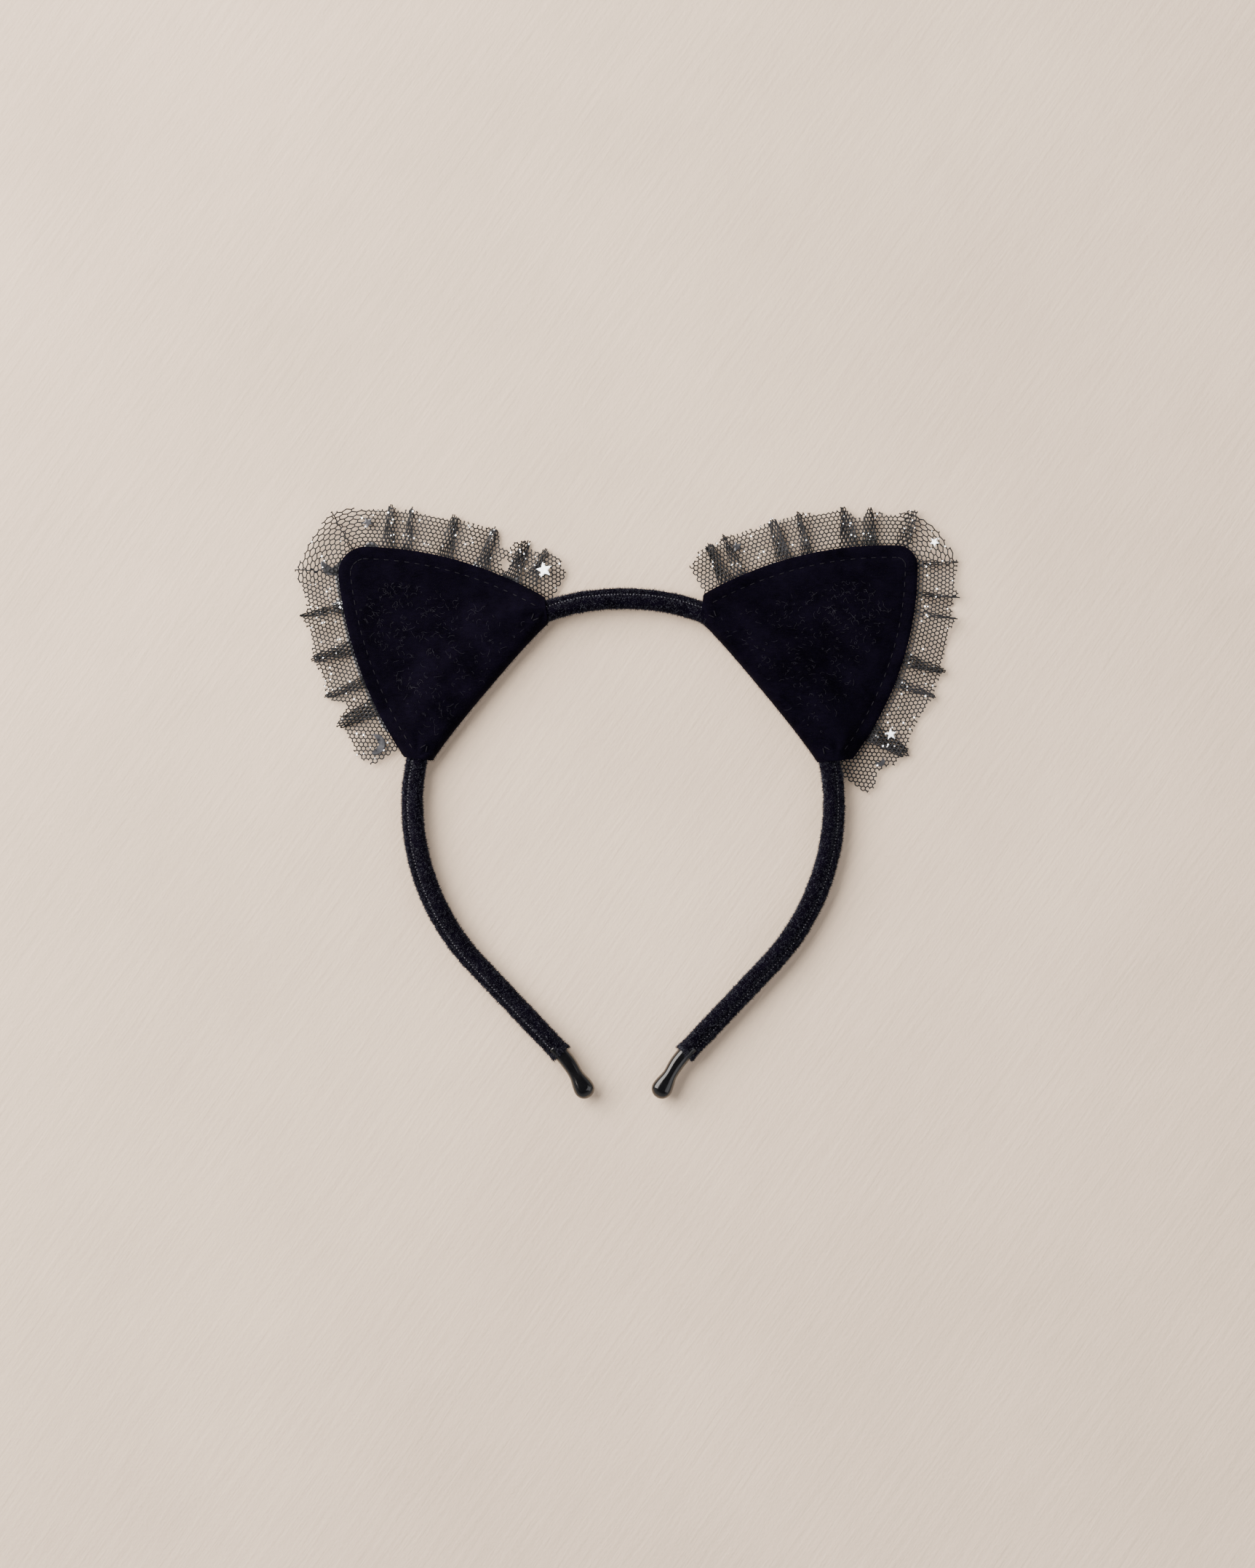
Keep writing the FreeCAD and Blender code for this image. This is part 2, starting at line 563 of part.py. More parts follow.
def make_ruffle(span, plan):
    """Tulle ruffle: its flat header lies between the ear's layers and its pleats stand round two sides."""
    edge = "sizes.frill_clearance"
    reach, thick = f"{edge} + sizes.header_reach", "sizes.header_thickness"
    frill_outer = offset_plate(
        f"frill_outer_{span}", plan, "sizes.frill_width", "sizes.frill_low", "sizes.frill_depth")
    frill_inner = offset_plate(f"frill_inner_{span}", plan, edge, "0", EAR_DEPTH)
    header_outer = offset_plate(f"header_outer_{span}", plan, reach, HEADER_LOW, thick)
    header_inner = offset_plate(f"header_inner_{span}", plan, "-sizes.header_depth", "0", EAR_DEPTH)
    frill = cut(f"frill_ring_{span}", frill_outer, frill_inner)
    header = cut(f"header_ring_{span}", header_outer, header_inner)
    both = doc.addObject("Part::Fuse", f"ruffle_both_{span}")
    both.Base, both.Tool = frill, header
    ruffle = cut(f"tulle_ruffle_{span}", both, below_mouths(f"ruffle_end_{span}", "sizes.mouth_rise"))
    ruffle.Label = f"tulle_ruffle_{span}"
    ruffle.Placement = ear_placement(SIDES[span])
    return ruffle


# ---------------------------------------------------------------- threads and sequins

def edge_path(side, inset):
    """The two long sides and the tip, moved inwards by inset, from the lower mouth to the crown's mouth."""
    r_tip, r_side = length("sizes.tip_radius"), length("sizes.side_radius")
    wide, rise = length("sizes.mouth_half"), length("sizes.mouth_rise")
    tip = FreeCAD.Vector(-side * length("sizes.tip_shift"), length("sizes.ear_length") - r_tip, 0)
    arcs = []
    for hand in (1, -1):
        corner = FreeCAD.Vector(hand * wide, rise, 0)
        centre, touch = side_arc(corner, tip, r_tip, r_side, hand)
        inner = [centre + (p - centre) * ((r_side - inset) / r_side) for p in (corner, touch)]
        arcs.append((inner, arc_between(*(inner if hand > 0 else inner[::-1]), r_side - inset, 1)))
    (right_ends, right_arc), (left_ends, left_arc) = arcs
    top = arc_between(right_ends[1], left_ends[1], r_tip - inset, 1)
    wire = Part.Wire([right_arc.toShape(), top.toShape(), left_arc.toShape()])
    points = wire.discretize(Number=EDGE_POINTS)
    starts_at_crown = points[0].x * side < 0
    return points[::-1] if starts_at_crown else points


def along(points, share):
    """(the point, the direction) at a share of the way along evenly spaced points."""
    place = share * (len(points) - 1)
    i = min(int(place), len(points) - 2)
    step = points[i + 1] - points[i]
    return points[i] + step * (place - i), step.normalize()


def path_length(points):
    return sum((b - a).Length for a, b in zip(points, points[1:]))


def front_height(y):
    """Height of the ear cover's front face at a distance from the base line."""
    start, end = length(SHOULDER_START), length(SHOULDER_END)
    high, low = length(EAR_DEPTH), length(FRONT_TOP)
    share = min(max((y - start) / (end - start), 0), 1)
    return high + (low - high) * share


def thread_level(surface, diameter):
    """Height of the middle of a thread that is pulled down into a surface by a quarter of its thickness."""
    return surface + diameter / 4


def thread_bar(start, end, diameter):
    return Part.makeCylinder(diameter / 2, (end - start).Length, start, end - start)


def feature_of(label, shapes, placement):
    """A document object that holds several separate solids."""
    feature = doc.addObject("Part::Feature", label)
    feature.Label = label
    feature.Shape = Part.makeCompound(shapes)
    feature.Placement = placement
    return feature


def make_topstitches(span):
    """Row of stitches through all the layers, inside the ear's edge."""
    side = SIDES[span]
    points = edge_path(side, length("sizes.topstitch_inset"))
    diameter, reach = length("sizes.thread_diameter"), length("sizes.stitch_length")
    total = path_length(points)
    count = int(total / length("sizes.stitch_pitch"))
    stitches = []
    for i in range(count):
        ends = [along(points, ((i + 0.5) * total / count + half * reach / 2) / total)[0] for half in (-1, 1)]
        lifted = [FreeCAD.Vector(p.x, p.y, thread_level(front_height(p.y), diameter)) for p in ends]
        stitches.append(thread_bar(*lifted, diameter))
    return feature_of(f"ear_topstitches_{span}", stitches, ear_placement(side))


def make_gather_thread(span):
    """Thread that gathers the tulle's header."""
    side = SIDES[span]
    points = edge_path(side, length("sizes.gather_inset"))[:: EDGE_POINTS // GATHERS]
    level = length(f"{HEADER_LOW} + sizes.header_thickness / 2")
    radius = length("sizes.header_thickness") / 4
    bars = []
    for a, b in zip(points, points[1:]):
        start, end = (FreeCAD.Vector(p.x, p.y, level) for p in (a, b))
        inset = (end - start).normalize() * 2 * radius
        bars.append(thread_bar(start + inset, end - inset, 2 * radius))
    return feature_of(f"gathering_thread_{span}", bars, ear_placement(side))


def make_tacks(span):
    """Tack stitches that tie the ear's two mouths to the sleeve."""
    side = SIDES[span]
    diameter, reach = length("sizes.thread_diameter"), length("sizes.tack_length")
    radius = length("sizes.shoulder_radius")
    band_centre = FreeCAD.Vector(side * (length(HALF_SPAN) - radius), 0, 0)
    centre = ear_placement(side).inverse().multVec(band_centre)
    bars = []
    for hand in (-1, 1):
        x = hand * (length("sizes.base_half") + length("sizes.mouth_half")) / 2
        y = centre.y + math.sqrt(radius ** 2 - (x - centre.x) ** 2)
        z = thread_level(length(EAR_DEPTH), diameter)
        start = FreeCAD.Vector(x - hand * reach, y + length("sizes.tack_slant") * reach, z)
        bars.append(thread_bar(start, FreeCAD.Vector(x - hand * diameter, y, z), diameter))
    return feature_of(f"tack_stitches_{span}", bars, ear_placement(side))


def star_shape():
    """Five-pointed foil star, flat on Z = 0."""
    points = []
    for i in range(10):
        radius = length("sizes.star_waist" if i % 2 else "sizes.star_radius")
        angle = math.radians(90 + 36 * i)
        points.append(FreeCAD.Vector(radius * math.cos(angle), radius * math.sin(angle), 0))
    face = Part.Face(Part.makePolygon(points + points[:1]))
    return face.extrude(FreeCAD.Vector(0, 0, length("sizes.sequin_thickness")))


def moon_shape():
    """Foil crescent, flat on Z = 0."""
    thick = length("sizes.sequin_thickness")
    disc = Part.makeCylinder(length("sizes.moon_radius"), thick)
    start = FreeCAD.Vector(length("sizes.moon_shift"), 0, -thick)
    bite = Part.makeCylinder(length("sizes.moon_inner"), 3 * thick, start)
    return disc.cut(bite)


def make_sequins(label, span, shape, places):
    """Foil shapes stuck on top of the ruffle's pleats."""
    side = SIDES[span]
    edge = edge_path(side, 0)
    level = length(f"{FRILL_TOP} + sizes.layer_gap")
    pieces = []
    for share, out, turn in places:
        point, way = along(edge, share)
        centre = point + FreeCAD.Vector(side * way.y, -side * way.x, 0) * out
        piece = shape.copy()
        piece.Placement = FreeCAD.Placement(
            FreeCAD.Vector(centre.x, centre.y, level), FreeCAD.Rotation(FreeCAD.Vector(0, 0, 1), turn))
        pieces.append(piece)
    return feature_of(f"{label}_{span}", pieces, ear_placement(side))


# ---------------------------------------------------------------- build, check and write

parts = []
for span in ("crown", "left", "right"):
    parts += [make_strip(span), make_sleeve(span), make_seam(span)]
for span in SIDES:
    parts += [make_cap(span), make_cover(span), make_stiffener(span), make_ruffle(span, ear_plan(span))]
    parts += [make_topstitches(span), make_gather_thread(span), make_tacks(span)]
    parts.append(make_sequins("star_sequins", span, star_shape(), STARS[span]))
    parts.append(make_sequins("moon_sequins", span, moon_shape(), MOONS[span]))
doc.recompute()

for thing in doc.Objects:
    if {"Invalid", "Error"} & set(thing.State):
        raise SystemExit(f"{thing.Name} failed: {thing.State}")
os.makedirs("parts", exist_ok=True)
for part in parts:
    shape = part.Shape
    if shape.isNull() or not shape.isValid() or not shape.Solids:
        raise SystemExit(f"{part.Label} has no valid solid")
    shape.exportStep(os.path.join("parts", f"{part.Label}.step"))
    print(f"{part.Label}: {len(shape.Solids)} solids, {shape.Volume:.1f} mm3")
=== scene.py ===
import math

import bmesh
import bpy
import numpy as np
from bpy.props import FloatProperty, FloatVectorProperty, IntProperty, PointerProperty
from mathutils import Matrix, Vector


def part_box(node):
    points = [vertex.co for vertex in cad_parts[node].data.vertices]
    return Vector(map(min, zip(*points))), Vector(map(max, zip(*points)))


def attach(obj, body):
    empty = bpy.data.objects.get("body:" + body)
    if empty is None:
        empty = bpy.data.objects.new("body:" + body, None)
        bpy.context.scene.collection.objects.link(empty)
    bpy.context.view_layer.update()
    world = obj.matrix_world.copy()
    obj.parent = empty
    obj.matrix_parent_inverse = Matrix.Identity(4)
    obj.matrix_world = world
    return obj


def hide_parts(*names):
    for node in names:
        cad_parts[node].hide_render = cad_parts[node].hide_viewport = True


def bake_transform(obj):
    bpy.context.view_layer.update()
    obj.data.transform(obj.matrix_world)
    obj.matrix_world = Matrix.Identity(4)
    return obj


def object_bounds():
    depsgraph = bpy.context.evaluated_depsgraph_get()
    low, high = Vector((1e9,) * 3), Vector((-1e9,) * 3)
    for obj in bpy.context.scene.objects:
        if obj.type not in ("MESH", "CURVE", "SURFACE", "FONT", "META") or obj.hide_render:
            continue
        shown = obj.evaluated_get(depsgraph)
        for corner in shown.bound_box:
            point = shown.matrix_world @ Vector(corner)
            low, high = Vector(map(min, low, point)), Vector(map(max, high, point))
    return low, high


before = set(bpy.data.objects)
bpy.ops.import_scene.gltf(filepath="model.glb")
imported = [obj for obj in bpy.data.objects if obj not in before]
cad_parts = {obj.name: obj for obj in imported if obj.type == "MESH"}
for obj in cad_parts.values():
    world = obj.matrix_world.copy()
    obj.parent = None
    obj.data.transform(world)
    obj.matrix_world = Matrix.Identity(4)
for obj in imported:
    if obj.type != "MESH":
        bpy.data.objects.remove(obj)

bl_info = {
    "name": "Ears headband",
    "version": (1, 0, 0),
    "blender": (4, 5, 0),
    "location": "3D View > Sidebar > Ears",
    "description": "Velvet headband with two tulle-trimmed ears, built round its packed frame",
    "category": "Object",
}

CAD_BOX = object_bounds()
MM = 0.001
PREFIX = "ears_"  # keeps these materials apart from the frame's own
SIDES = {"left": -1, "right": 1}
TOWARDS_KEY = np.array([0.33, -0.18])  # slopes at which a foil throws the key light up

# Pleats of each ruffle, in millimetres: distance along the sewn edge from the lower mouth, and width of the
# back layer.
PLEATS = {
    "left": (
        (17, 4.6), (25, 3.2), (35.5, 3.9), (47.5, 3.1), (58, 0.8), (66, 0.8), (76.5, 3.7), (82, 2.9),
        (93.5, 4.0), (104.5, 3.6), (113.5, 4.6), (119, 4.0),
    ),
    "right": (
        (9.5, 4.8), (26, 3.0), (33, 3.5), (47, 1.7), (52.5, 1.7), (61, 1.4), (68.5, 3.0), (78, 4.0),
        (84, 5.0), (96.5, 3.0), (103.5, 4.3), (117, 3.2), (121.5, 4.0),
    ),
}

# Foil shapes on each ruffle: (kind, foil, share of the sewn edge, distance out in millimetres, turn in
# degrees, scale, how stout the shape is).
SEQUINS = {
    "left": [
        ("star", "silver", 0.970, 6.9, 12, 1.25, 0.47), ("star", "gunmetal", 0.565, 7.1, 30, 0.92, 0.45),
        ("star", "silver", 0.390, 1.3, 10, 1.05, 0.48), ("star", "silver", 0.823, -0.5, 70, 1.0, 0.45),
        ("moon", "gunmetal", 0.478, 2.3, 98, 1.1, 0.42), ("moon", "gunmetal", 0.060, 5.2, 180, 1.05, 0.24),
        ("moon", "gunmetal", 0.910, 0.6, 80, 0.9, 0.42), ("moon", "gunmetal", 0.575, -0.9, -85, 0.8, 0.24),
    ],
    "right": [
        ("star", "gunmetal", 0.891, 8.3, 15, 0.86, 0.45), ("star", "silver", 0.497, 7.0, 40, 0.8, 0.45),
        ("star", "silver", 0.093, 5.4, 5, 0.95, 0.42), ("moon", "gunmetal", 0.031, 7.0, 120, 0.5, 0.6),
    ],
}

# Worn gaps in the net: (share of the sewn edge, then distance out, half the gap's width and half its height
# in millimetres).
GAPS = {"left": [(0.888, 3.3, 1.25, 1.8)], "right": []}


# ---------------------------------------------------------------- sizes and colours that a user may change

def size(name, millimetres, description):
    return FloatProperty(
        name=name, description=description, default=millimetres * MM, unit="LENGTH", precision=5)


def turn(name, degrees, description):
    return FloatProperty(name=name, description=description, default=math.radians(degrees), subtype="ANGLE")


def number(name, value, description):
    return IntProperty(name=name, description=description, default=value, min=0)


def colour(name, value, description):
    return FloatVectorProperty(
        name=name, description=description, default=value, subtype="COLOR", min=0, max=1)


class EARS_PG_band(bpy.types.PropertyGroup):
    """Course and thickness of the headband."""
    crown_radius: size("Crown radius", 79.0, "Flatter stretch on top of the head")
    crown_turn: turn("Crown turn", 5.3, "Half the angle of that stretch")
    shoulder_radius: size("Shoulder radius", 59.7, "Arc under the ears")
    arm_radius: size("Arm radius", 68.0, "Arc of each arm")
    arm_sweep: turn("Arm sweep", 43.5, "Angle through which each arm curves in")
    arm_straight: size("Arm straight", 36.0, "Straight stretch to the end of the sleeve")
    curl_radius: size("Curl radius", 25.0, "Outward curl of the tip")
    curl_turn: turn("Curl turn", 13.5, "Angle of that curl")
    cap_straight: size("Cap length", 9.4, "Tip cap beyond its curl")
    cap_neck: size("Cap neck", 4.6, "Width of the cap where it leaves the sleeve")
    cap_bulb: size("Cap bulb", 6.1, "Diameter of the cap's round end")
    flex_angle: turn("Flex angle", 8.7, "How far down its arc the arm bends")
    bend_reach: size("Bend reach", 11.0, "How far the bend spreads each way along the sleeve")
    seam_pitch: size("Seam pitch", 0.9, "From stitch to stitch along the sleeve's seam")
    pile_length: size("Pile length", 0.72, "Length of the sleeve's pile")
    pile_count: number("Pile count", 26000, "Tufts on each arm's sleeve")


def ear_sizes(angle, distance, tip, tip_radius, lower, crown, sides, base):
    """Properties of one ear, from its measures in degrees and millimetres."""
    return {
        "angle": turn("Angle", angle, "The ear's axis above the line between the arms"),
        "distance": size("Distance", distance, "Head centre to the base line"),
        "tip_shift": size("Tip shift", tip[0], "Tip from the axis towards the crown"),
        "tip_height": size("Tip height", tip[1], "Centre of the tip's rounding above the base line"),
        "tip_radius": size("Tip radius", tip_radius, "Rounding of the tip"),
        "lower_half": size("Lower corner", lower[0], "Lower mouth's outer corner from the axis"),
        "lower_rise": size("Lower corner rise", lower[1], "The same corner above the base line"),
        "crown_half": size("Crown corner", crown[0], "Crown mouth's outer corner from the axis"),
        "crown_rise": size("Crown corner rise", crown[1], "The same corner above the base line"),
        "outer_radius": size("Outer side", sides[0], "Curve of the side above the arm"),
        "upper_radius": size("Upper side", sides[1], "Curve of the side above the crown"),
        "base_half": size("Base", base, "Half the length of the fold along the base"),
    }


class EARS_PG_left(bpy.types.PropertyGroup):
    """Outline of the left ear."""
    __annotations__ = ear_sizes(40.1, 51.5, (2.9, 49.3), 7.9, (30.8, 6.1), (31.3, 5.0), (118, 108), 26.2)


class EARS_PG_right(bpy.types.PropertyGroup):
    """Outline of the right ear."""
    __annotations__ = ear_sizes(39.7, 52.2, (2.3, 53.6), 6.1, (32.8, 7.6), (32.0, 5.2), (94, 109), 27.0)


class EARS_PG_trim(bpy.types.PropertyGroup):
    """Sizes of what is sewn to the ears."""
    cover_thickness: size("Velvet", 0.7, "Thickness of the ear's velvet")
    stitch_inset: size("Topstitch inset", 3.6, "Row of stitches inside the edge")
    stitch_pitch: size("Topstitch pitch", 3.1, "From stitch to stitch")
    stitch_length: size("Topstitch length", 2.2, "One stitch")
    thread: size("Thread", 0.27, "Diameter of the sewing thread")
    felt_show: size("Felt edge", 0.95, "How far the felt shows beyond the velvet")
    header: size("Header", 3.0, "Tulle caught between the layers")
    ruffle: size("Ruffle", 12.9, "Tulle outside the ear at a pleat")
    scallop: size("Scallop", 2.3, "How far the ruffle's rim dips between pleats")
    fullness: FloatProperty(
        name="Fullness", description="Scale of the pleats' back layers", default=1.2, min=0.2, soft_max=2.0,
        subtype="FACTOR")
    net_pitch: size("Net pitch", 1.28, "Across one mesh of the net")
    net_strand: size("Net strand", 0.43, "Thickness of the net's strands")
    star: size("Star", 2.0, "Star sequin from centre to point, at scale one")
    moon: size("Moon", 2.9, "Radius of the crescent sequin, at scale one")
    foil: size("Foil", 0.15, "Thickness of a sequin")
    glitter: number("Glitter", 110, "Flecks on each ruffle")


class EARS_PG_colours(bpy.types.PropertyGroup):
    """Colours of the materials."""
    velvet: colour("Velvet", (0.0008, 0.0004, 0.0022), "Ground of the black velvet")
    velvet_nap: colour("Velvet nap", (0.0040, 0.0028, 0.0085), "Tips of the pile where they catch the light")
    # painted sheen: the sleeve's tufts are painted in this lighter tone over the nap tone, for the black pile
    # catching the light
    brushed: colour("Brushed pile", (0.062, 0.065, 0.082), "Tufts of the headband's sleeve")
    net: colour("Net", (0.005, 0.005, 0.006), "Nylon net")
    felt: colour("Felt", (0.60, 0.64, 0.72), "Felt inside the ears")
    thread: colour("Thread", (0.0045, 0.0040, 0.0065), "Sewing thread")
    lint: colour("Lint", (0.020, 0.019, 0.025), "Stray fibres on the ears")
    seam: colour("Seam", (0.13, 0.13, 0.15), "Filament stitches along the sleeve")
    silver: colour("Silver", (0.74, 0.77, 0.80), "Bright foil")
    gunmetal: colour("Gunmetal", (0.13, 0.132, 0.145), "Dark foil")
    cap: colour("Cap", (0.0025, 0.0025, 0.003), "Moulded tip caps")
    steel: colour("Steel", (0.55, 0.56, 0.58), "Spring strip")
    floor: colour("Floor", (0.90, 0.70, 0.53), "Plaster under the headband")


# ---------------------------------------------------------------- materials

class Reading:
    """A shader socket in a sum, so that masks are written as plain arithmetic."""

    def __init__(self, finish, socket):
        self.finish = finish
        self.socket = socket

    def __add__(self, other):
        return self.finish.maths("ADD", self, other)

    def __sub__(self, other):
        return self.finish.maths("SUBTRACT", self, other)

    def __rsub__(self, other):
        return self.finish.maths("SUBTRACT", other, self)

    def __mul__(self, other):
        return self.finish.maths("MULTIPLY", self, other)

    def __gt__(self, other):
        return self.finish.maths("GREATER_THAN", self, other)

    __radd__ = __add__
    __rmul__ = __mul__


class Finish:
    """A material under construction, or the world round the stage."""

    def __init__(self, name, world=None):
        self.material = world or bpy.data.materials.new(PREFIX + name)
        self.material.use_nodes = True
        self.tree = self.material.node_tree
        self.tree.nodes.clear()

    def node(self, kind, settings=None, sockets=None, output=0):
        """Adds a node: its settings first, then the values or links of its sockets."""
        made = self.tree.nodes.new(kind)
        for key, value in (settings or {}).items():
            if key == "stops":
                ramp = made.color_ramp.elements
                while len(ramp) < len(value):
                    ramp.new(1.0)
                for element, (place, tone) in zip(ramp, value):
                    element.position = place
                    element.color = (*(tone if hasattr(tone, "__len__") else (tone,) * 3), 1.0)
            else:
                setattr(made, key, value)
        for key, value in (sockets or {}).items():
            if isinstance(value, Reading):
                self.tree.links.new(value.socket, made.inputs[key])
            else:
                made.inputs[key].default_value = value
        return None if output is None else Reading(self, made.outputs[output])

    def maths(self, operation, first, second):
        return self.node("ShaderNodeMath", {"operation": operation}, {0: first, 1: second})

    def place(self, stretch=(1, 1, 1)):
        """Where a point is on the piece, in metres, stretched along each axis."""
        coordinates = self.node("ShaderNodeTexCoord", output=3)
        return self.node("ShaderNodeVectorMath", {"operation": "MULTIPLY"}, {0: coordinates, 1: stretch})

    def noise(self, where, grain, detail=3.0, roughness=0.55):
        """Cloudy noise whose grain is a length in metres."""
        return self.node(
            "ShaderNodeTexNoise", None,
            {"Vector": where, "Scale": 1 / grain, "Detail": detail, "Roughness": roughness})

    def cells(self, where, grain):
        return self.node("ShaderNodeTexVoronoi", None, {"Vector": where, "Scale": 1 / grain})

    def ramp(self, value, stops):
        return self.node("ShaderNodeValToRGB", {"stops": stops}, {"Fac": value})

    def between(self, share, first, second):
        """A colour between two others."""
        tones = {6: first, 7: second}
        plain = {k: v if isinstance(v, Reading) else (*v, 1.0) for k, v in tones.items()}
        return self.node("ShaderNodeMix", {"data_type": "RGBA"}, {0: share, **plain}, output=2)

    def bump(self, height, depth, strength):
        return self.node(
            "ShaderNodeBump", None, {"Height": height, "Distance": depth, "Strength": strength})

    def surface(self, sockets):
        shader = self.node("ShaderNodeBsdfPrincipled", None, sockets)
        self.output("ShaderNodeOutputMaterial", shader)
        return self.material

    def output(self, kind, shader):
        self.node(kind, None, {"Surface": shader}, output=None)


def velvet_finish(ground, nap):
    """Short pile that is darkest looked straight into, with brushed patches painted towards the nap tone as a
    painted sheen, and caught specks.
    """
    made = Finish("velvet_cloth")
    where = made.place()
    tufts = made.noise(where, 0.32 * MM, 4.0, 0.7)
    brushed = made.noise(made.place((1, 1, 0.4)), 7 * MM, 3.0, 0.6)
    rows = made.noise(made.place((1, 3.2, 1)), 1.6 * MM, 2.0, 0.5)
    # painted sheen: where the brushed patches, rows and tufts rise, the colour goes from the ground to the nap
    # tone, the pile catching the light painted in
    lie = made.ramp(brushed * 0.55 + rows * 0.25 + tufts * 0.35, [(0.46, 0.0), (0.76, 1.0)])
    specks = 1 - made.cells(where, 1.5 * MM)
    caught = (specks > 0.965) * (tufts > 0.55)
    tone = made.between(lie, ground, nap)
    tone = made.between(caught * 0.12, tone, (0.20, 0.20, 0.24))
    rough = made.ramp(tufts, [(0.3, 0.72), (0.7, 0.95)])
    normal = made.bump(tufts + rows * 0.5, 0.16 * MM, 0.8)
    return made.surface({
        "Base Color": tone, "Roughness": rough, "Normal": normal, "Specular IOR Level": 0.02,
        "Sheen Weight": 0.03, "Sheen Roughness": 0.25, "Sheen Tint": (0.50, 0.48, 0.80, 1.0)})


def pile_finish(name, ground, nap, grain):
    """The single tufts that stand up from the velvet, in patches painted towards the nap tone as a painted
    sheen.
    """
    made = Finish(name)
    patch = made.noise(made.place(), grain, 3.0, 0.6)
    # painted sheen: patches of the tufts go from the ground to the nap tone, which stands for the pile
    # catching the light
    tone = made.between(made.ramp(patch, [(0.42, 0.0), (0.7, 1.0)]), ground, nap)
    rough = made.ramp(patch, [(0.3, 0.6), (0.7, 0.85)])
    return made.surface({
        "Base Color": tone, "Roughness": rough, "Specular IOR Level": 0.12,
        "Sheen Weight": 0.10, "Sheen Roughness": 0.3, "Sheen Tint": (0.55, 0.55, 0.80, 1.0)})


def net_finish(tone):
    """Nylon strands: black, faintly shiny and twisted."""
    made = Finish("nylon_net")
    where = made.place()
    twist = made.noise(where, 0.22 * MM, 2.0, 0.5)
    patch = made.noise(where, 6 * MM, 2.0, 0.5)
    lighter = made.ramp(patch + twist * 0.4, [(0.5, 0.0), (0.95, 1.0)])
    return made.surface({
        "Base Color": made.between(lighter, tone, (0.020, 0.020, 0.024)),
        "Roughness": made.ramp(twist, [(0.3, 0.42), (0.7, 0.62)]),
        "Normal": made.bump(twist, 0.03 * MM, 0.7), "Specular IOR Level": 0.4})


def felt_finish(tone):
    """Pressed felt with crossing fibres."""
    made = Finish("pressed_felt")
    where = made.place()
    fibres = made.noise(made.place((1, 4, 1)), 0.5 * MM, 4.0, 0.7)
    cross = made.noise(made.place((4, 1, 1)), 0.5 * MM, 4.0, 0.7)
    soil = made.noise(where, 5 * MM, 2.0, 0.5)
    worn = made.ramp(soil, [(0.4, 0.0), (0.75, 1.0)])
    base = made.between(worn, tone, (0.40, 0.34, 0.29))
    shade = made.ramp(fibres * 0.5 + cross * 0.5, [(0.35, 0.0), (0.62, 1.0)])
    return made.surface({
        "Base Color": made.between(shade, (0.26, 0.25, 0.26), base),
        "Roughness": made.ramp(fibres, [(0.3, 0.84), (0.7, 0.97)]),
        "Normal": made.bump(fibres + cross, 0.12 * MM, 0.9), "Specular IOR Level": 0.2,
        "Sheen Weight": 0.2, "Sheen Roughness": 0.5})


def thread_finish(name, tone, shine, gloss):
    """Spun thread: plies that wind round, and stray fuzz."""
    made = Finish(name)
    plies = made.node(
        "ShaderNodeTexWave", {"bands_direction": "DIAGONAL"},
        {"Vector": made.place(), "Scale": 1 / (1.4 * MM), "Distortion": 1.5}, output=1)
    fuzz = made.noise(made.place(), 0.12 * MM, 3.0, 0.6)
    lighter = tuple(min(channel * 2.4, 1.0) for channel in tone)
    return made.surface({
        "Base Color": made.between(plies * 0.6 + fuzz * 0.4, tone, lighter),
        "Roughness": made.ramp(fuzz, [(0.3, shine), (0.7, shine + 0.2)]),
        "Normal": made.bump(plies + fuzz * 0.4, 0.05 * MM, 0.8), "Specular IOR Level": gloss})


def foil_finish(name, tone, shine):
    """Metallised film, a little crumpled, with fine scuffs."""
    made = Finish(name)
    where = made.place()
    crumple = made.noise(where, 1.3 * MM, 2.0, 0.5)
    scuffs = made.noise(made.place((1, 9, 1)), 0.2 * MM, 3.0, 0.7)
    worn = made.ramp(scuffs, [(0.55, 0.0), (0.8, 1.0)])
    dull = tuple(channel * 0.55 for channel in tone)
    return made.surface({
        "Base Color": made.between(worn * 0.6, tone, dull), "Metallic": 1.0,
        "Roughness": made.ramp(crumple + scuffs * 0.4, [(0.45, shine), (0.95, shine + 0.2)]),
        "Normal": made.bump(crumple, 0.10 * MM, 0.5)})


def cap_finish(tone):
    """Glossy moulded plastic with faint flow marks, handling haze and hairline scratches."""
    made = Finish("glossy_cap")
    where = made.place()
    haze = made.noise(where, 3.0 * MM, 3.0, 0.6)
    scratches = made.noise(made.place((1, 14, 1)), 0.6 * MM, 4.0, 0.75)
    hairline = made.ramp(scratches, [(0.62, 0.0), (0.66, 1.0)])
    return made.surface({
        "Base Color": made.between(hairline * 0.25, tone, (0.05, 0.05, 0.055)),
        "Roughness": made.ramp(haze, [(0.35, 0.09), (0.75, 0.22)]) + hairline * 0.08,
        "Normal": made.bump(haze, 0.05 * MM, 0.12), "Specular IOR Level": 0.5,
        "Coat Weight": 0.08, "Coat Roughness": 0.06})


def steel_finish(tone):
    """Rolled spring steel, brushed along its length, with a little tarnish."""
    made = Finish("spring_steel")
    brushed = made.noise(made.place((1, 1, 30)), 0.4 * MM, 4.0, 0.7)
    tarnish = made.noise(made.place(), 6 * MM, 3.0, 0.6)
    stained = made.ramp(tarnish, [(0.5, 0.0), (0.8, 1.0)])
    return made.surface({
        "Base Color": made.between(stained * 0.5, tone, (0.30, 0.27, 0.23)), "Metallic": 1.0,
        "Roughness": made.ramp(brushed, [(0.3, 0.28), (0.7, 0.46)]),
        "Normal": made.bump(brushed, 0.03 * MM, 0.6)})


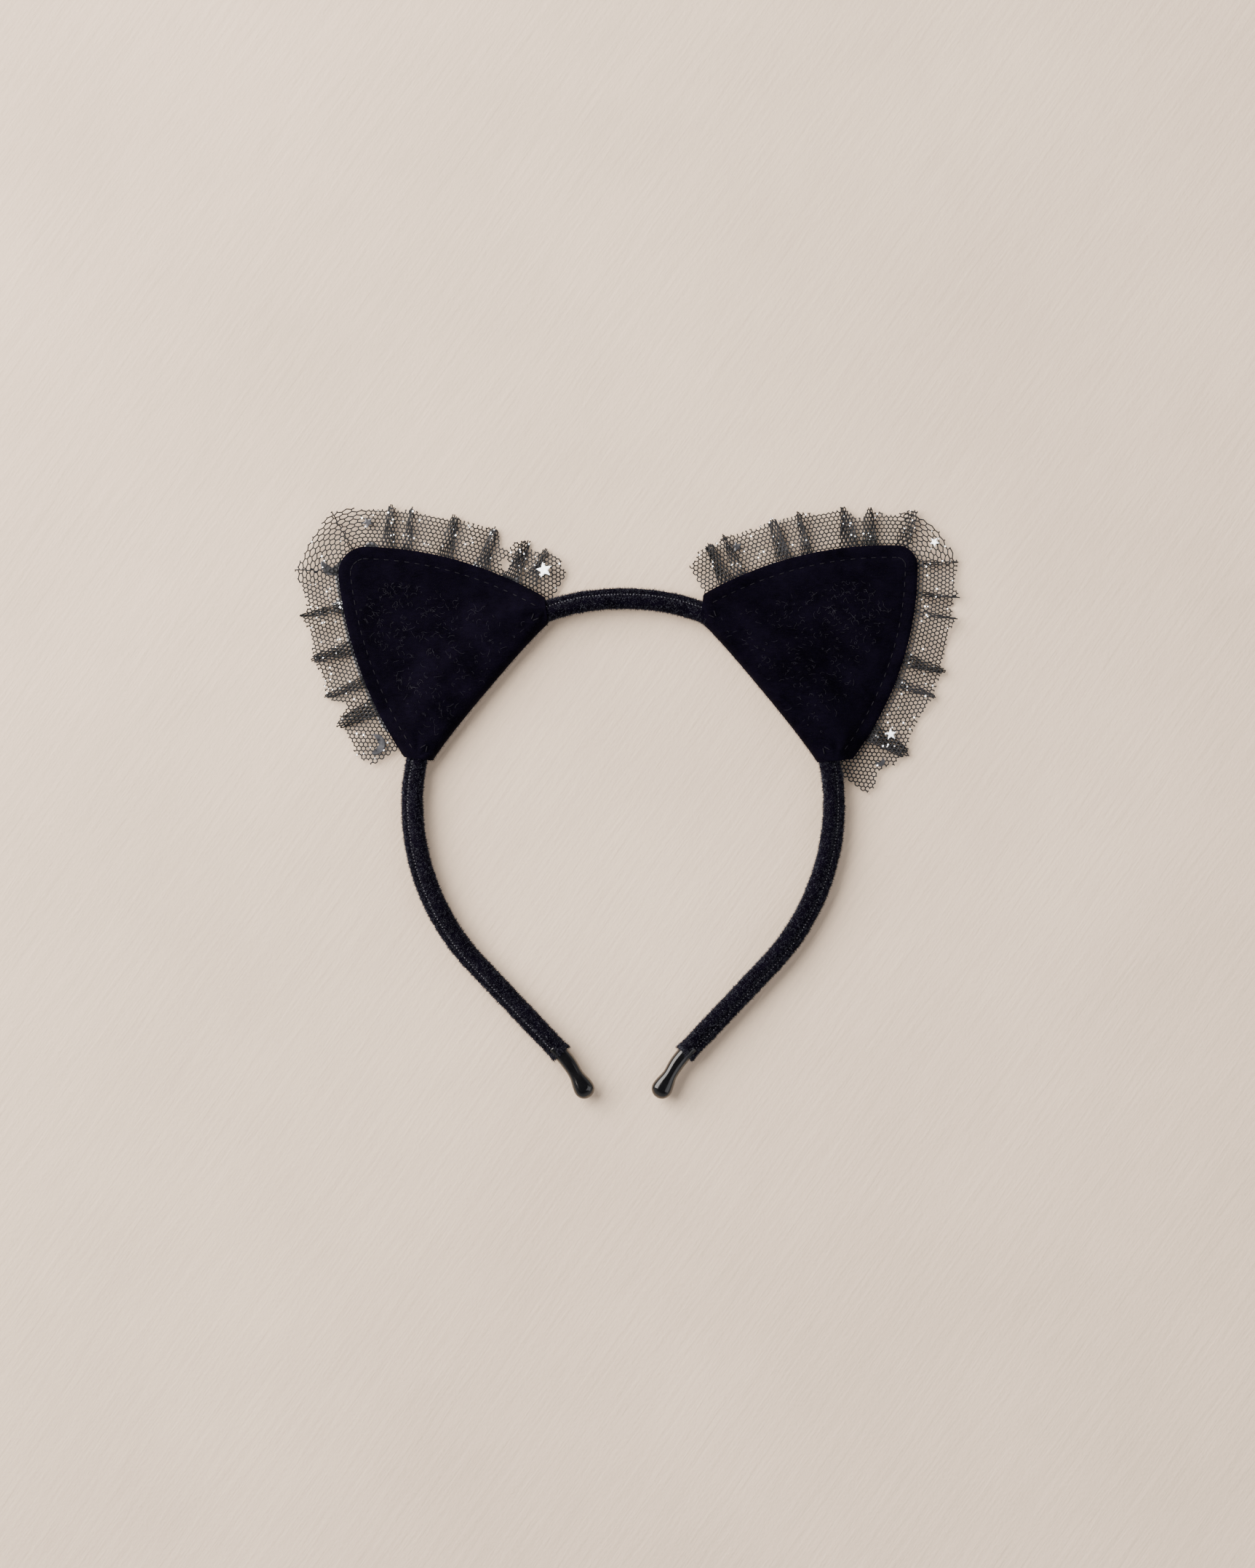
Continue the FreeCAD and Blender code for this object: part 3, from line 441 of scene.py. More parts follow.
def floor_finish(tone):
    """Pale plaster with slanting brush strokes, soft clouds and a fine grain."""
    made = Finish("plaster_floor")
    where = made.place()
    clouds = made.noise(where, 90 * MM, 4.0, 0.55)
    grain = made.noise(where, 1.1 * MM, 4.0, 0.65)
    slanted = made.node(
        "ShaderNodeVectorRotate", {"rotation_type": "Z_AXIS"}, {"Vector": where, "Angle": math.radians(35)})
    drawn = made.node("ShaderNodeVectorMath", {"operation": "MULTIPLY"}, {0: slanted, 1: (1, 0.07, 1)})
    strokes = made.noise(drawn, 1.5 * MM, 4.0, 0.65)
    darker = tuple(channel * 0.84 for channel in tone)
    shade = made.ramp(clouds * 0.5 + grain * 0.15 + strokes * 0.35, [(0.36, 0.0), (0.62, 1.0)])
    return made.surface({
        "Base Color": made.between(shade, darker, tone),
        "Roughness": made.ramp(grain, [(0.3, 0.78), (0.7, 0.92)]),
        "Normal": made.bump(grain * 0.6 + strokes, 0.30 * MM, 0.8), "Specular IOR Level": 0.3})


def studio_light(world):
    """Bright walls all round, and a dim ceiling that the glossy pieces show."""
    made = Finish("studio", world)
    way = made.node("ShaderNodeTexCoord", output=0)
    height = made.node("ShaderNodeSeparateXYZ", None, {0: way}, output=2)
    walls, above, ceiling = (1.0, 0.97, 0.94), (0.80, 0.79, 0.78), (0.12, 0.12, 0.13)
    glow = made.ramp(height, [(0.0, walls), (0.45, above), (0.8, ceiling)])
    light = made.node("ShaderNodeBackground", None, {"Color": glow, "Strength": 0.8})
    made.output("ShaderNodeOutputWorld", light)


def finish_of(name):
    """The named material, made the first time that a piece asks for it."""
    kept = bpy.data.materials.get(PREFIX + name)
    if kept:
        return kept
    colours = bpy.context.scene.ears_colours
    tones = {key: tuple(getattr(colours, key)) for key in EARS_PG_colours.__annotations__}
    makers = {
        "velvet_cloth": lambda: velvet_finish(tones["velvet"], tones["velvet_nap"]),
        "velvet_pile": lambda: pile_finish(name, tones["velvet"], tones["velvet_nap"], 2.5 * MM),
        # the sleeve's pile and fringe are painted only in light-catching tones: a painted sheen
        "brushed_pile": lambda: pile_finish(name, tones["velvet_nap"], tones["brushed"], 0.9 * MM),
        "nylon_net": lambda: net_finish(tones["net"]),
        "pressed_felt": lambda: felt_finish(tones["felt"]),
        "black_thread": lambda: thread_finish(name, tones["thread"], 0.5, 0.15),
        "seam_filament": lambda: thread_finish(name, tones["seam"], 0.28, 0.5),
        "lint_fibre": lambda: thread_finish(name, tones["lint"], 0.6, 0.1),
        "silver_foil": lambda: foil_finish(name, tones["silver"], 0.34),
        "gunmetal_foil": lambda: foil_finish(name, tones["gunmetal"], 0.26),
        "glossy_cap": lambda: cap_finish(tones["cap"]),
        "spring_steel": lambda: steel_finish(tones["steel"]),
        "plaster_floor": lambda: floor_finish(tones["floor"]),
    }
    return makers[name]()


# ---------------------------------------------------------------- meshes

def eased(share):
    share = np.clip(share, 0, 1)
    return share * share * (3 - 2 * share)


def make_piece(name, points, face_sets, finish, smooth=True):
    """A mesh object from points and arrays of faces, each array with its own number of corners."""
    mesh = bpy.data.meshes.new(name)
    loops = np.concatenate([faces.ravel() for faces in face_sets])
    counts = np.concatenate([np.full(len(faces), faces.shape[1]) for faces in face_sets])
    mesh.vertices.add(len(points))
    mesh.vertices.foreach_set("co", np.asarray(points, np.float32).ravel())
    mesh.loops.add(len(loops))
    mesh.loops.foreach_set("vertex_index", loops.astype(np.int32))
    mesh.polygons.add(len(counts))
    starts = np.concatenate([[0], np.cumsum(counts)[:-1]])
    mesh.polygons.foreach_set("loop_start", starts.astype(np.int32))
    mesh.update(calc_edges=True)
    mesh.validate()
    mesh.polygons.foreach_set("use_smooth", np.full(len(mesh.polygons), smooth))
    mesh.materials.append(finish_of(finish))
    piece = bpy.data.objects.new(name, mesh)
    bpy.context.scene.collection.objects.link(piece)
    return piece


def joined(parts):
    """Several (points, [face arrays]) as one."""
    points, sets, base = [], {}, 0
    for own, face_sets in parts:
        points.append(own)
        for faces in face_sets:
            sets.setdefault(faces.shape[1], []).append(faces + base)
        base += len(own)
    return np.concatenate(points), [np.concatenate(found) for found in sets.values()]


def skin(rings, close_start=False, close_end=False):
    """A tube through rings of points, an array (rings, points round, 3)."""
    count, around = rings.shape[:2]
    grid = np.arange(count * around).reshape(count, around)
    onward = np.roll(grid, -1, axis=1)
    quads = np.stack([grid[:-1], onward[:-1], onward[1:], grid[1:]], -1).reshape(-1, 4)
    points = rings.reshape(-1, 3)
    sets = [quads]
    fans = []
    for wanted, row, flip in ((close_start, 0, True), (close_end, -1, False)):
        if wanted:
            middle = len(points)
            points = np.vstack([points, rings[row].mean(0)])
            pair = (onward[row], grid[row]) if flip else (grid[row], onward[row])
            fans.append(np.stack([*pair, np.full(around, middle)], -1))
    return points, sets + ([np.concatenate(fans)] if fans else [])


def across(ways):
    """Two unit vectors square to each of many directions."""
    unit = ways / np.maximum(np.linalg.norm(ways, axis=1, keepdims=True), 1e-12)
    helper = np.where(np.abs(unit[:, 2:]) < 0.8, [[0.0, 0.0, 1.0]], [[1.0, 0.0, 0.0]])
    first = np.cross(unit, helper)
    first /= np.maximum(np.linalg.norm(first, axis=1, keepdims=True), 1e-12)
    return first, np.cross(unit, first)


def three_round(ways):
    """Three unit vectors, evenly spaced, square to each of many directions."""
    first, second = across(ways)
    angles = np.radians([90, 210, 330])
    return first[:, None] * np.cos(angles)[None, :, None] + second[:, None] * np.sin(angles)[None, :, None]


def tufts(roots, ways, thickness):
    """Thin three-sided spikes that stand on a surface."""
    feet = roots[:, None] + three_round(ways) * thickness
    points = np.concatenate([feet, (roots + ways)[:, None]], axis=1)
    start = np.arange(len(roots))[:, None, None] * 4
    faces = start + np.array([[0, 1, 3], [1, 2, 3], [2, 0, 3]])
    return points.reshape(-1, 3), [faces.reshape(-1, 3)]


def strands(starts, ends, radius):
    """Three-sided open rods from many points to many others."""
    ring = three_round(ends - starts) * radius
    points = np.concatenate([starts[:, None] + ring, ends[:, None] + ring], axis=1)
    start = np.arange(len(starts))[:, None, None] * 6
    faces = start + np.array([[0, 1, 4, 3], [1, 2, 5, 4], [2, 0, 3, 5]])
    return points.reshape(-1, 3), [faces.reshape(-1, 4)]


def beads(centres, ways, length, radius, around=8, along=5):
    """Rounded stitches, one at each centre, that lie along the given ways."""
    first, second = across(ways)
    unit = ways / np.linalg.norm(ways, axis=1, keepdims=True)
    spin = np.linspace(0, 2 * math.pi, around, endpoint=False)
    parts = []
    for centre, way, one, two in zip(centres, unit, first, second):
        rings = []
        for share in np.linspace(-1, 1, along + 2)[1:-1]:
            girth = radius * (1 - abs(share) ** 2.4) ** 0.5
            ring = np.cos(spin)[:, None] * one + np.sin(spin)[:, None] * two
            rings.append(centre + way * share * length / 2 + ring * girth)
        parts.append(skin(np.array(rings), True, True))
    return joined(parts)


# ---------------------------------------------------------------- the band's line

class BandLine:
    """The centreline of the band, followed from the top of the head down either side."""

    def __init__(self, band):
        quarter = math.pi / 2
        self.runs = [
            (band.crown_radius * band.crown_turn, band.crown_radius),
            (band.shoulder_radius * (quarter - band.crown_turn), band.shoulder_radius),
            (band.arm_radius * band.arm_sweep, band.arm_radius),
            (band.arm_straight, None),
            (band.curl_radius * band.curl_turn, -band.curl_radius),
            (band.cap_straight, None),
        ]
        drop = (band.crown_radius - band.shoulder_radius) * math.cos(band.crown_turn)
        self.top = np.array([0.0, band.crown_radius - drop])
        self.shift = (band.crown_radius - band.shoulder_radius) * math.sin(band.crown_turn)
        self.shoulder_radius = band.shoulder_radius
        self.hinge = self.runs[0][0] + self.runs[1][0] + band.arm_radius * band.flex_angle
        self.sleeve_end = sum(length for length, _ in self.runs[:4])
        self.tip = sum(length for length, _ in self.runs)
        low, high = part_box("velvet_sleeve_crown")
        self.level = (low.z + high.z) / 2

    def at(self, side, distance):
        """(point, outward normal) in the band's plane, at distances from the top.

        A distance below zero is on the far side.
        """
        distance = np.atleast_1d(np.asarray(distance, float))
        reach = np.abs(distance)
        spot = np.zeros((len(reach), 2))
        normal = np.zeros((len(reach), 2))
        here, angle, done = self.top, 0.0, 0.0
        for i, (length, radius) in enumerate(self.runs):
            last = i == len(self.runs) - 1
            mine = (reach >= done) & ((reach <= done + length) | last)
            for where, travel in ((mine, reach[mine] - done), (None, np.array([length]))):
                turned = angle + (travel / radius if radius else travel * 0)
                out = np.stack([np.sin(turned), np.cos(turned)], -1)
                start = np.array([math.sin(angle), math.cos(angle)])
                way = np.array([math.cos(angle), -math.sin(angle)])
                found = here + ((out - start) * radius if radius else travel[:, None] * way)
                if where is None:
                    here, angle = found[0], float(turned[0])
                else:
                    spot[where], normal[where] = found, out
            done += length
        hand = np.where(distance < 0, -side, side)[:, None] * [1, 0] + [[0, 1]]
        return spot * hand, normal * hand


# Half of the sleeve's section, from its inner edge over the top to its outer edge: (outwards, up) in
# millimetres. The stuffed tube lies inwards of the valley that holds the seam, and the flange outwards.
SECTION = [
    (-2.90, 0.0), (-2.82, 1.1), (-2.45, 2.2), (-1.75, 2.95), (-0.80, 3.2), (0.10, 3.05), (0.75, 2.55),
    (1.15, 1.95), (1.50, 1.95), (2.05, 2.1), (2.55, 1.75), (2.86, 0.9), (2.95, 0.0),
]
VALLEY = (1.22, 1.98)
RING_STEP = 0.8 * MM


def sleeve_section():
    top = np.array(SECTION) * MM
    below = top[-2:0:-1] * [1, -1]
    return np.vstack([top, below])


def sleeve_width(line, distance):
    """The sleeve is fuller along the upper arm than on the crown and at its end."""
    reach = np.abs(distance)
    fullest, spread, end = line.hinge + 14 * MM, 24 * MM, 8 * MM
    upper = np.exp(-((reach - fullest) / spread) ** 2)
    return 1.0 + 0.075 * upper - 0.02 * (reach > line.sleeve_end - end)


def sleeve_rings(line, side, start, end, seed):
    """Rings of the sleeve between two distances, pulled in a little here and there as cloth is."""
    stops = np.linspace(start, end, int(abs(end - start) / RING_STEP) + 2)
    spot, normal = line.at(side, stops)
    section = sleeve_section()
    rng = np.random.default_rng(seed)
    waves = sum(
        rng.uniform(0.4, 1.0) * np.sin(stops / (length * MM) * 2 * math.pi + rng.uniform(0, 6))
        for length in (3.1, 5.3, 9.7, 17.0))
    width = sleeve_width(line, stops) * (1 + 0.010 * waves)
    depth = 1 + 0.008 * np.roll(waves, 9)
    out = section[None, :, 0] * width[:, None]
    up = section[None, :, 1] * depth[:, None]
    flat = spot[:, None] + normal[:, None] * out[..., None]
    return np.concatenate([flat, (line.level + up)[..., None]], -1)


def scattered(rings, count, rng, share=None):
    """Random points on a skin of rings, with the outward normals there."""
    rows, around = rings.shape[:2]
    row = rng.uniform(0, rows - 1.001, count) if share is None else share * (rows - 1.001)
    spin = rng.uniform(0, around, count)
    i, j = row.astype(int), spin.astype(int) % around
    a, b = (row - i)[:, None], (spin % 1)[:, None]
    k = (j + 1) % around
    low = rings[i, j] * (1 - b) + rings[i, k] * b
    high = rings[i + 1, j] * (1 - b) + rings[i + 1, k] * b
    normal = np.cross(rings[i, k] - rings[i, j], rings[i + 1, j] - rings[i, j])
    middle = rings[i].mean(1)
    spot = low * (1 - a) + high * a
    flip = np.sign(((spot - middle) * normal).sum(1, keepdims=True))
    return spot, normal * flip / np.maximum(np.linalg.norm(normal, axis=1, keepdims=True), 1e-15)


def make_pile(name, rings, length, count, seed):
    """Tufts over a length of sleeve, in clumps, and longer strays that fray its edges."""
    clump_size, thickness, sunk = 0.55 * MM, 0.085 * MM, 0.05
    stray_share, stray_length = 0.03, 1.6
    rng = np.random.default_rng(seed)
    roots, normals = scattered(rings, count, rng)
    lean = rng.normal(0, 0.45, (count, 3))
    clump = np.round(roots / clump_size)
    combed = 0.5 + 0.5 * np.sin(clump @ np.array([12.9, 78.2, 37.7]) * 43.7)  # any value that differs by clump
    reach = length * rng.uniform(0.5, 1.0, (count, 1)) * (0.55 + 0.85 * combed[:, None])
    strays = rng.random((count, 1)) < stray_share
    reach = np.where(strays, reach * stray_length, reach)
    ways = normals + lean
    ways *= reach / np.linalg.norm(ways, axis=1, keepdims=True)
    points, faces = tufts(roots - normals * sunk * MM, ways, thickness)
    return make_piece(name, points, faces, "brushed_pile")


def make_seam(name, line, side, start, end, pitch, seed):
    """Bright filament stitches in the valley beside the flange."""
    length, radius, above, slant = pitch * 0.42, 0.14 * MM, 0.12, 0.25
    rng = np.random.default_rng(seed)
    stops = np.arange(start, end, pitch)
    spot, normal = line.at(side, stops)
    width = sleeve_width(line, stops)[:, None]
    jitter = rng.normal(0, 0.05 * MM, (len(stops), 1))
    flat = spot + normal * (VALLEY[0] * MM * width + jitter)
    level = np.full((len(stops), 1), line.level + (VALLEY[1] + above) * MM)
    centres = np.hstack([flat, level])
    ways = np.gradient(centres, axis=0) + np.hstack([normal, level * 0]) * slant * MM
    points, faces = beads(centres, ways, length, radius, around=6, along=4)
    return make_piece(name, points, faces, "seam_filament")


def bend_arm(piece, line, name):
    """Bakes a piece of the sleeve's placement into its mesh; the span about the arm's hinge is worked out but
    not used, so nothing bends.
    """
    side = SIDES[name]
    reach = bpy.context.scene.ears_band.bend_reach
    spot, _ = line.at(side, [line.hinge - reach, line.hinge + reach])
    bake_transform(piece)


def band_now():
    """The band's line, worked out from its properties."""
    return BandLine(bpy.context.scene.ears_band)


def ears_now():
    """The two ears, worked out from their properties."""
    line = band_now()
    return [Ear(name, getattr(bpy.context.scene, f"ears_{name}"), line) for name in SIDES]


# ---------------------------------------------------------------- the ears' outlines and heights

def arc_points(centre, start, end, count):
    """Points along the shorter arc about centre from start to end."""
    radius = np.linalg.norm(start - centre)
    angles = [math.atan2(*(point - centre)[::-1]) for point in (start, end)]
    sweep = (angles[1] - angles[0] + math.pi) % (2 * math.pi) - math.pi
    steps = angles[0] + sweep * np.linspace(0, 1, count)
    return centre + radius * np.stack([np.cos(steps), np.sin(steps)], -1)


class Ear:
    """One ear in its own frame: +Y runs from the base line to the tip, and +X towards the lower mouth."""

    SAMPLES = 700
    SIDE_SAMPLES = 300
    TIP_SAMPLES = 150
    FOLD_REACH = 3.2 * MM  # how far in from the fold the two faces come together
    EDGE_LEVEL = 2.3 * MM  # height of the sewn edge
    FLAT_LEVEL = 3.1 * MM  # height of the front face, clear of the band
    BACK_ROUNDING = 1.2 * MM
    BASE_DIP = 0.95 * MM  # how far the fold drops at its two ends
    MOUTH_POINTS = 22
    BAND_EDGE = 2.6 * MM  # half the band's width, where the front begins to fall away
    BAND_SLOPE = 11.5 * MM  # how far the front takes to fall
    GROOVE_IN = 3.6 * MM  # the groove that the topstitches pull in

    def __init__(self, name, shape, line):
        self.name, self.side = name, SIDES[name]
        self.angle, self.distance = shape.angle, shape.distance
        self.base_half = shape.base_half
        self.level = line.level
        low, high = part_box(f"ear_cover_{name}")
        self.top, self.bottom = high.z - 0.25 * MM, low.z + 0.12 * MM
        tip = np.array([-shape.tip_shift, shape.tip_height])
        self.lower = np.array([shape.lower_half, shape.lower_rise])
        self.crown = np.array([-shape.crown_half, shape.crown_rise])
        outer, first = self.side_centre(self.lower, tip, shape.tip_radius, shape.outer_radius, 1)
        upper, second = self.side_centre(self.crown, tip, shape.tip_radius, shape.upper_radius, -1)
        run = np.vstack([
            arc_points(outer, self.lower, first, self.SIDE_SAMPLES),
            arc_points(tip, first, second, self.TIP_SAMPLES)[1:],
            arc_points(upper, second, self.crown, self.SIDE_SAMPLES)[1:],
        ])
        travelled = np.concatenate([[0], np.cumsum(np.linalg.norm(np.diff(run, axis=0), axis=1))])
        self.length = travelled[-1]
        self.stops = np.linspace(0, self.length, self.SAMPLES)
        self.path = np.stack([np.interp(self.stops, travelled, run[:, i]) for i in (0, 1)], -1)
        way = np.gradient(self.path, axis=0)
        way /= np.linalg.norm(way, axis=1, keepdims=True)
        self.way = way
        self.normal = np.stack([way[:, 1], -way[:, 0]], -1)
        self.band_centre = self.own([[self.side * line.shift, 0.0]])[0]
        self.band_radius = line.shoulder_radius

    @staticmethod
    def side_centre(corner, tip, tip_radius, side_radius, hand):
        """(centre, end) of the long side from a mouth's corner to the tip's rounding, which it touches."""
        chord = tip - corner
        span = np.linalg.norm(chord)
        near = (side_radius ** 2 - (side_radius - tip_radius) ** 2 + span ** 2) / (2 * span)
        off = math.sqrt(side_radius ** 2 - near ** 2)
        unit = chord / span
        centre = corner + unit * near + np.array([-unit[1], unit[0]]) * off * hand
        return centre, centre + (tip - centre) / np.linalg.norm(tip - centre) * side_radius

    def own(self, flat):
        """Points of the object's plane in the ear's frame."""
        flat = np.asarray(flat, float) * [self.side, 1]
        along = np.array([math.cos(self.angle), math.sin(self.angle)])
        sideways = np.array([math.sin(self.angle), -math.cos(self.angle)])
        return np.stack([flat @ sideways, flat @ along - self.distance], -1)

    def placed(self, flat, level):
        """Points of the ear's frame, at a height, in the object's frame."""
        flat = np.asarray(flat, float)
        x, y = flat[..., 0], flat[..., 1] + self.distance
        sine, cosine = math.sin(self.angle), math.cos(self.angle)
        level = np.broadcast_to(level, x.shape)
        return np.stack([self.side * (x * sine + y * cosine), y * sine - x * cosine, level], -1)

    def edge(self, stop):
        """(point, outward normal) of the sewn edge; past its ends it runs straight on."""
        stop = np.asarray(stop, float)
        inside = np.clip(stop, 0, self.length)
        point = np.stack([np.interp(inside, self.stops, self.path[:, i]) for i in (0, 1)], -1)
        normal = np.stack([np.interp(inside, self.stops, self.normal[:, i]) for i in (0, 1)], -1)
        way = np.where((stop > self.length / 2)[..., None], self.way[-1], self.way[0])
        return point + way * (stop - inside)[..., None], normal

    def outline(self, step=0.55 * MM):
        """The closed outline and whether each stretch of it is open, as the two mouths are."""
        base_x = np.linspace(-self.base_half, self.base_half, int(2 * self.base_half / step))
        dip = -self.BASE_DIP * (np.abs(base_x) / self.base_half) ** 3
        base = np.stack([base_x, dip], -1)
        sides = self.edge(np.linspace(0, self.length, int(self.length / step)))[0]
        mouths = [
            np.linspace(sides[-1], base[0], self.MOUTH_POINTS)[1:-1],
            np.linspace(base[-1], sides[0], self.MOUTH_POINTS)[1:-1],
        ]
        points = np.vstack([sides, mouths[0], base, mouths[1]])
        shut = np.ones(len(points), bool)
        start = len(sides)
        shut[start:start + len(mouths[0])] = False
        shut[-len(mouths[1]):] = False
        return points, shut

    def from_sides(self, flat):
        """Distance to the two sewn sides and the tip."""
        gaps = np.linalg.norm(flat[:, None] - self.path[None, ::4], axis=2)
        return gaps.min(1)

    def from_base(self, flat):
        """Distance to the fold along the base."""
        dip = -self.BASE_DIP * np.clip(np.abs(flat[:, 0]) / self.base_half, 0, 1) ** 3
        beyond = np.maximum(np.abs(flat[:, 0]) - self.base_half, 0)
        return np.hypot(flat[:, 1] - dip, beyond)

    def creases(self, flat):
        """Soft ridges that fan out of the two mouths, and a slack middle."""
        ridge, fades, begins = 0.42 * MM, 11 * MM, 4 * MM
        height = np.zeros(len(flat))
        for corner, phase in ((self.lower, 0.4), (self.crown, 2.1)):
            mouth = (corner + [math.copysign(self.base_half, corner[0]), 0]) / 2
            away = flat - mouth
            distance = np.hypot(*away.T)
            fan = np.arctan2(away[:, 1], -away[:, 0] * np.sign(corner[0]))
            height += ridge * np.sin(fan * 7 + phase) * np.exp(-distance / fades) * eased(distance / begins)
        slack = np.sin(flat[:, 0] / (19 * MM) + self.side) * np.sin(flat[:, 1] / (13 * MM) + 1.0)
        ripple = np.sin(flat[:, 0] / (4.1 * MM) + 3 * np.sin(flat[:, 1] / (9 * MM)))
        return height + 0.30 * MM * slack + 0.06 * MM * ripple

    def front(self, flat):
        """Height of the velvet's front face."""
        flat = np.asarray(flat, float).reshape(-1, 2)
        off_band = np.linalg.norm(flat - self.band_centre, axis=1) - self.band_radius
        over = 1 - eased((off_band - self.BAND_EDGE) / self.BAND_SLOPE)
        sides = self.from_sides(flat)
        full = self.FLAT_LEVEL + (self.top - self.FLAT_LEVEL) * over
        full += 0.55 * MM * eased((sides - 4 * MM) / (10 * MM)) * (1 - over)
        full += self.creases(flat) * eased(sides / (6 * MM))
        groove = np.exp(-((sides - self.GROOVE_IN) / (0.8 * MM)) ** 2)
        full -= 0.30 * MM * groove * (1 - 0.6 * over)
        rounding = np.clip(sides / (1.5 * MM + 0.55 * (full - self.FLAT_LEVEL)), 0, 1)
        height = self.EDGE_LEVEL + (full - self.EDGE_LEVEL) * np.sqrt(1 - (1 - rounding) ** 2)
        return self.folded(height, flat)

    def back(self, flat):
        """Height of the velvet's back face."""
        flat = np.asarray(flat, float).reshape(-1, 2)
        rounding = np.clip(self.from_sides(flat) / self.BACK_ROUNDING, 0, 1)
        height = self.EDGE_LEVEL + (self.bottom - self.EDGE_LEVEL) * np.sqrt(1 - (1 - rounding) ** 2)
        return self.folded(height, flat)

    def folded(self, height, flat):
        """Draws a face in to the middle of the band along the fold at the base."""
        turned = np.clip(self.from_base(flat) / self.FOLD_REACH, 0, 1)
        return self.level + (height - self.level) * np.sqrt(1 - (1 - turned) ** 2)


def leaf(outline, middle, rows, power=1.7):
    """Rings that shrink from an outline to a middle, closer together near the outline."""
    shares = 1 - (1 - np.linspace(0, 1, rows + 1)[1:]) ** power
    return middle + (outline - middle) * shares[:, None, None]


def leaf_faces(rings, start, flip):
    """Quads between the rings, and a fan to the middle point that follows them."""
    rows, around = rings.shape[:2]
    grid = start + np.arange(rows * around).reshape(rows, around)
    onward = np.roll(grid, -1, axis=1)
    quads = np.stack([grid[:-1], grid[1:], onward[1:], onward[:-1]], -1).reshape(-1, 4)
    fan = np.stack([grid[0], onward[0], np.full(around, start + rows * around)], -1)
    if flip:
        return quads[:, ::-1], fan
    return quads, fan[:, ::-1]


def two_faced(ear, outline, shut, middle, rows, top, bottom):
    """A flat bag: a front, a back, and a rim between them that is left open where shut is false."""
    rings = leaf(outline, middle, rows)
    flat = np.vstack([rings.reshape(-1, 2), middle])
    points = np.vstack([ear.placed(flat, top(flat)), ear.placed(flat, bottom(flat))])
    front = leaf_faces(rings, 0, ear.side > 0)
    back = leaf_faces(rings, len(flat), ear.side < 0)
    around = len(outline)
    outer = (rows - 1) * around + np.arange(around)
    onward = np.roll(outer, -1)
    kept = shut & np.roll(shut, -1)
    rim = np.stack([outer, onward, onward + len(flat), outer + len(flat)], -1)[kept]
    if ear.side < 0:
        rim = rim[:, ::-1]
    return points, [np.concatenate([front[0], back[0], rim]), np.concatenate([front[1], back[1]])]


def flat_area(points):
    """Area inside a closed outline."""
    x, y = points.T
    return abs(np.dot(x, np.roll(y, -1)) - np.dot(y, np.roll(x, -1))) / 2


def fix_normals(piece):
    """Turns every face of a closed piece outwards."""
    shape = bmesh.new()
    shape.from_mesh(piece.data)
    bmesh.ops.remove_doubles(shape, verts=shape.verts, dist=0.002 * MM)
    bmesh.ops.recalc_face_normals(shape, faces=shape.faces)
    shape.to_mesh(piece.data)
    shape.free()


def apply_modifiers(piece):
    """Leaves the mesh as its modifiers make it."""
    seen = piece.evaluated_get(bpy.context.evaluated_depsgraph_get())
    mesh = bpy.data.meshes.new_from_object(seen)
    piece.modifiers.clear()
    old = piece.data
    piece.data = mesh
    bpy.data.meshes.remove(old)


# ---------------------------------------------------------------- the ruffle's folds

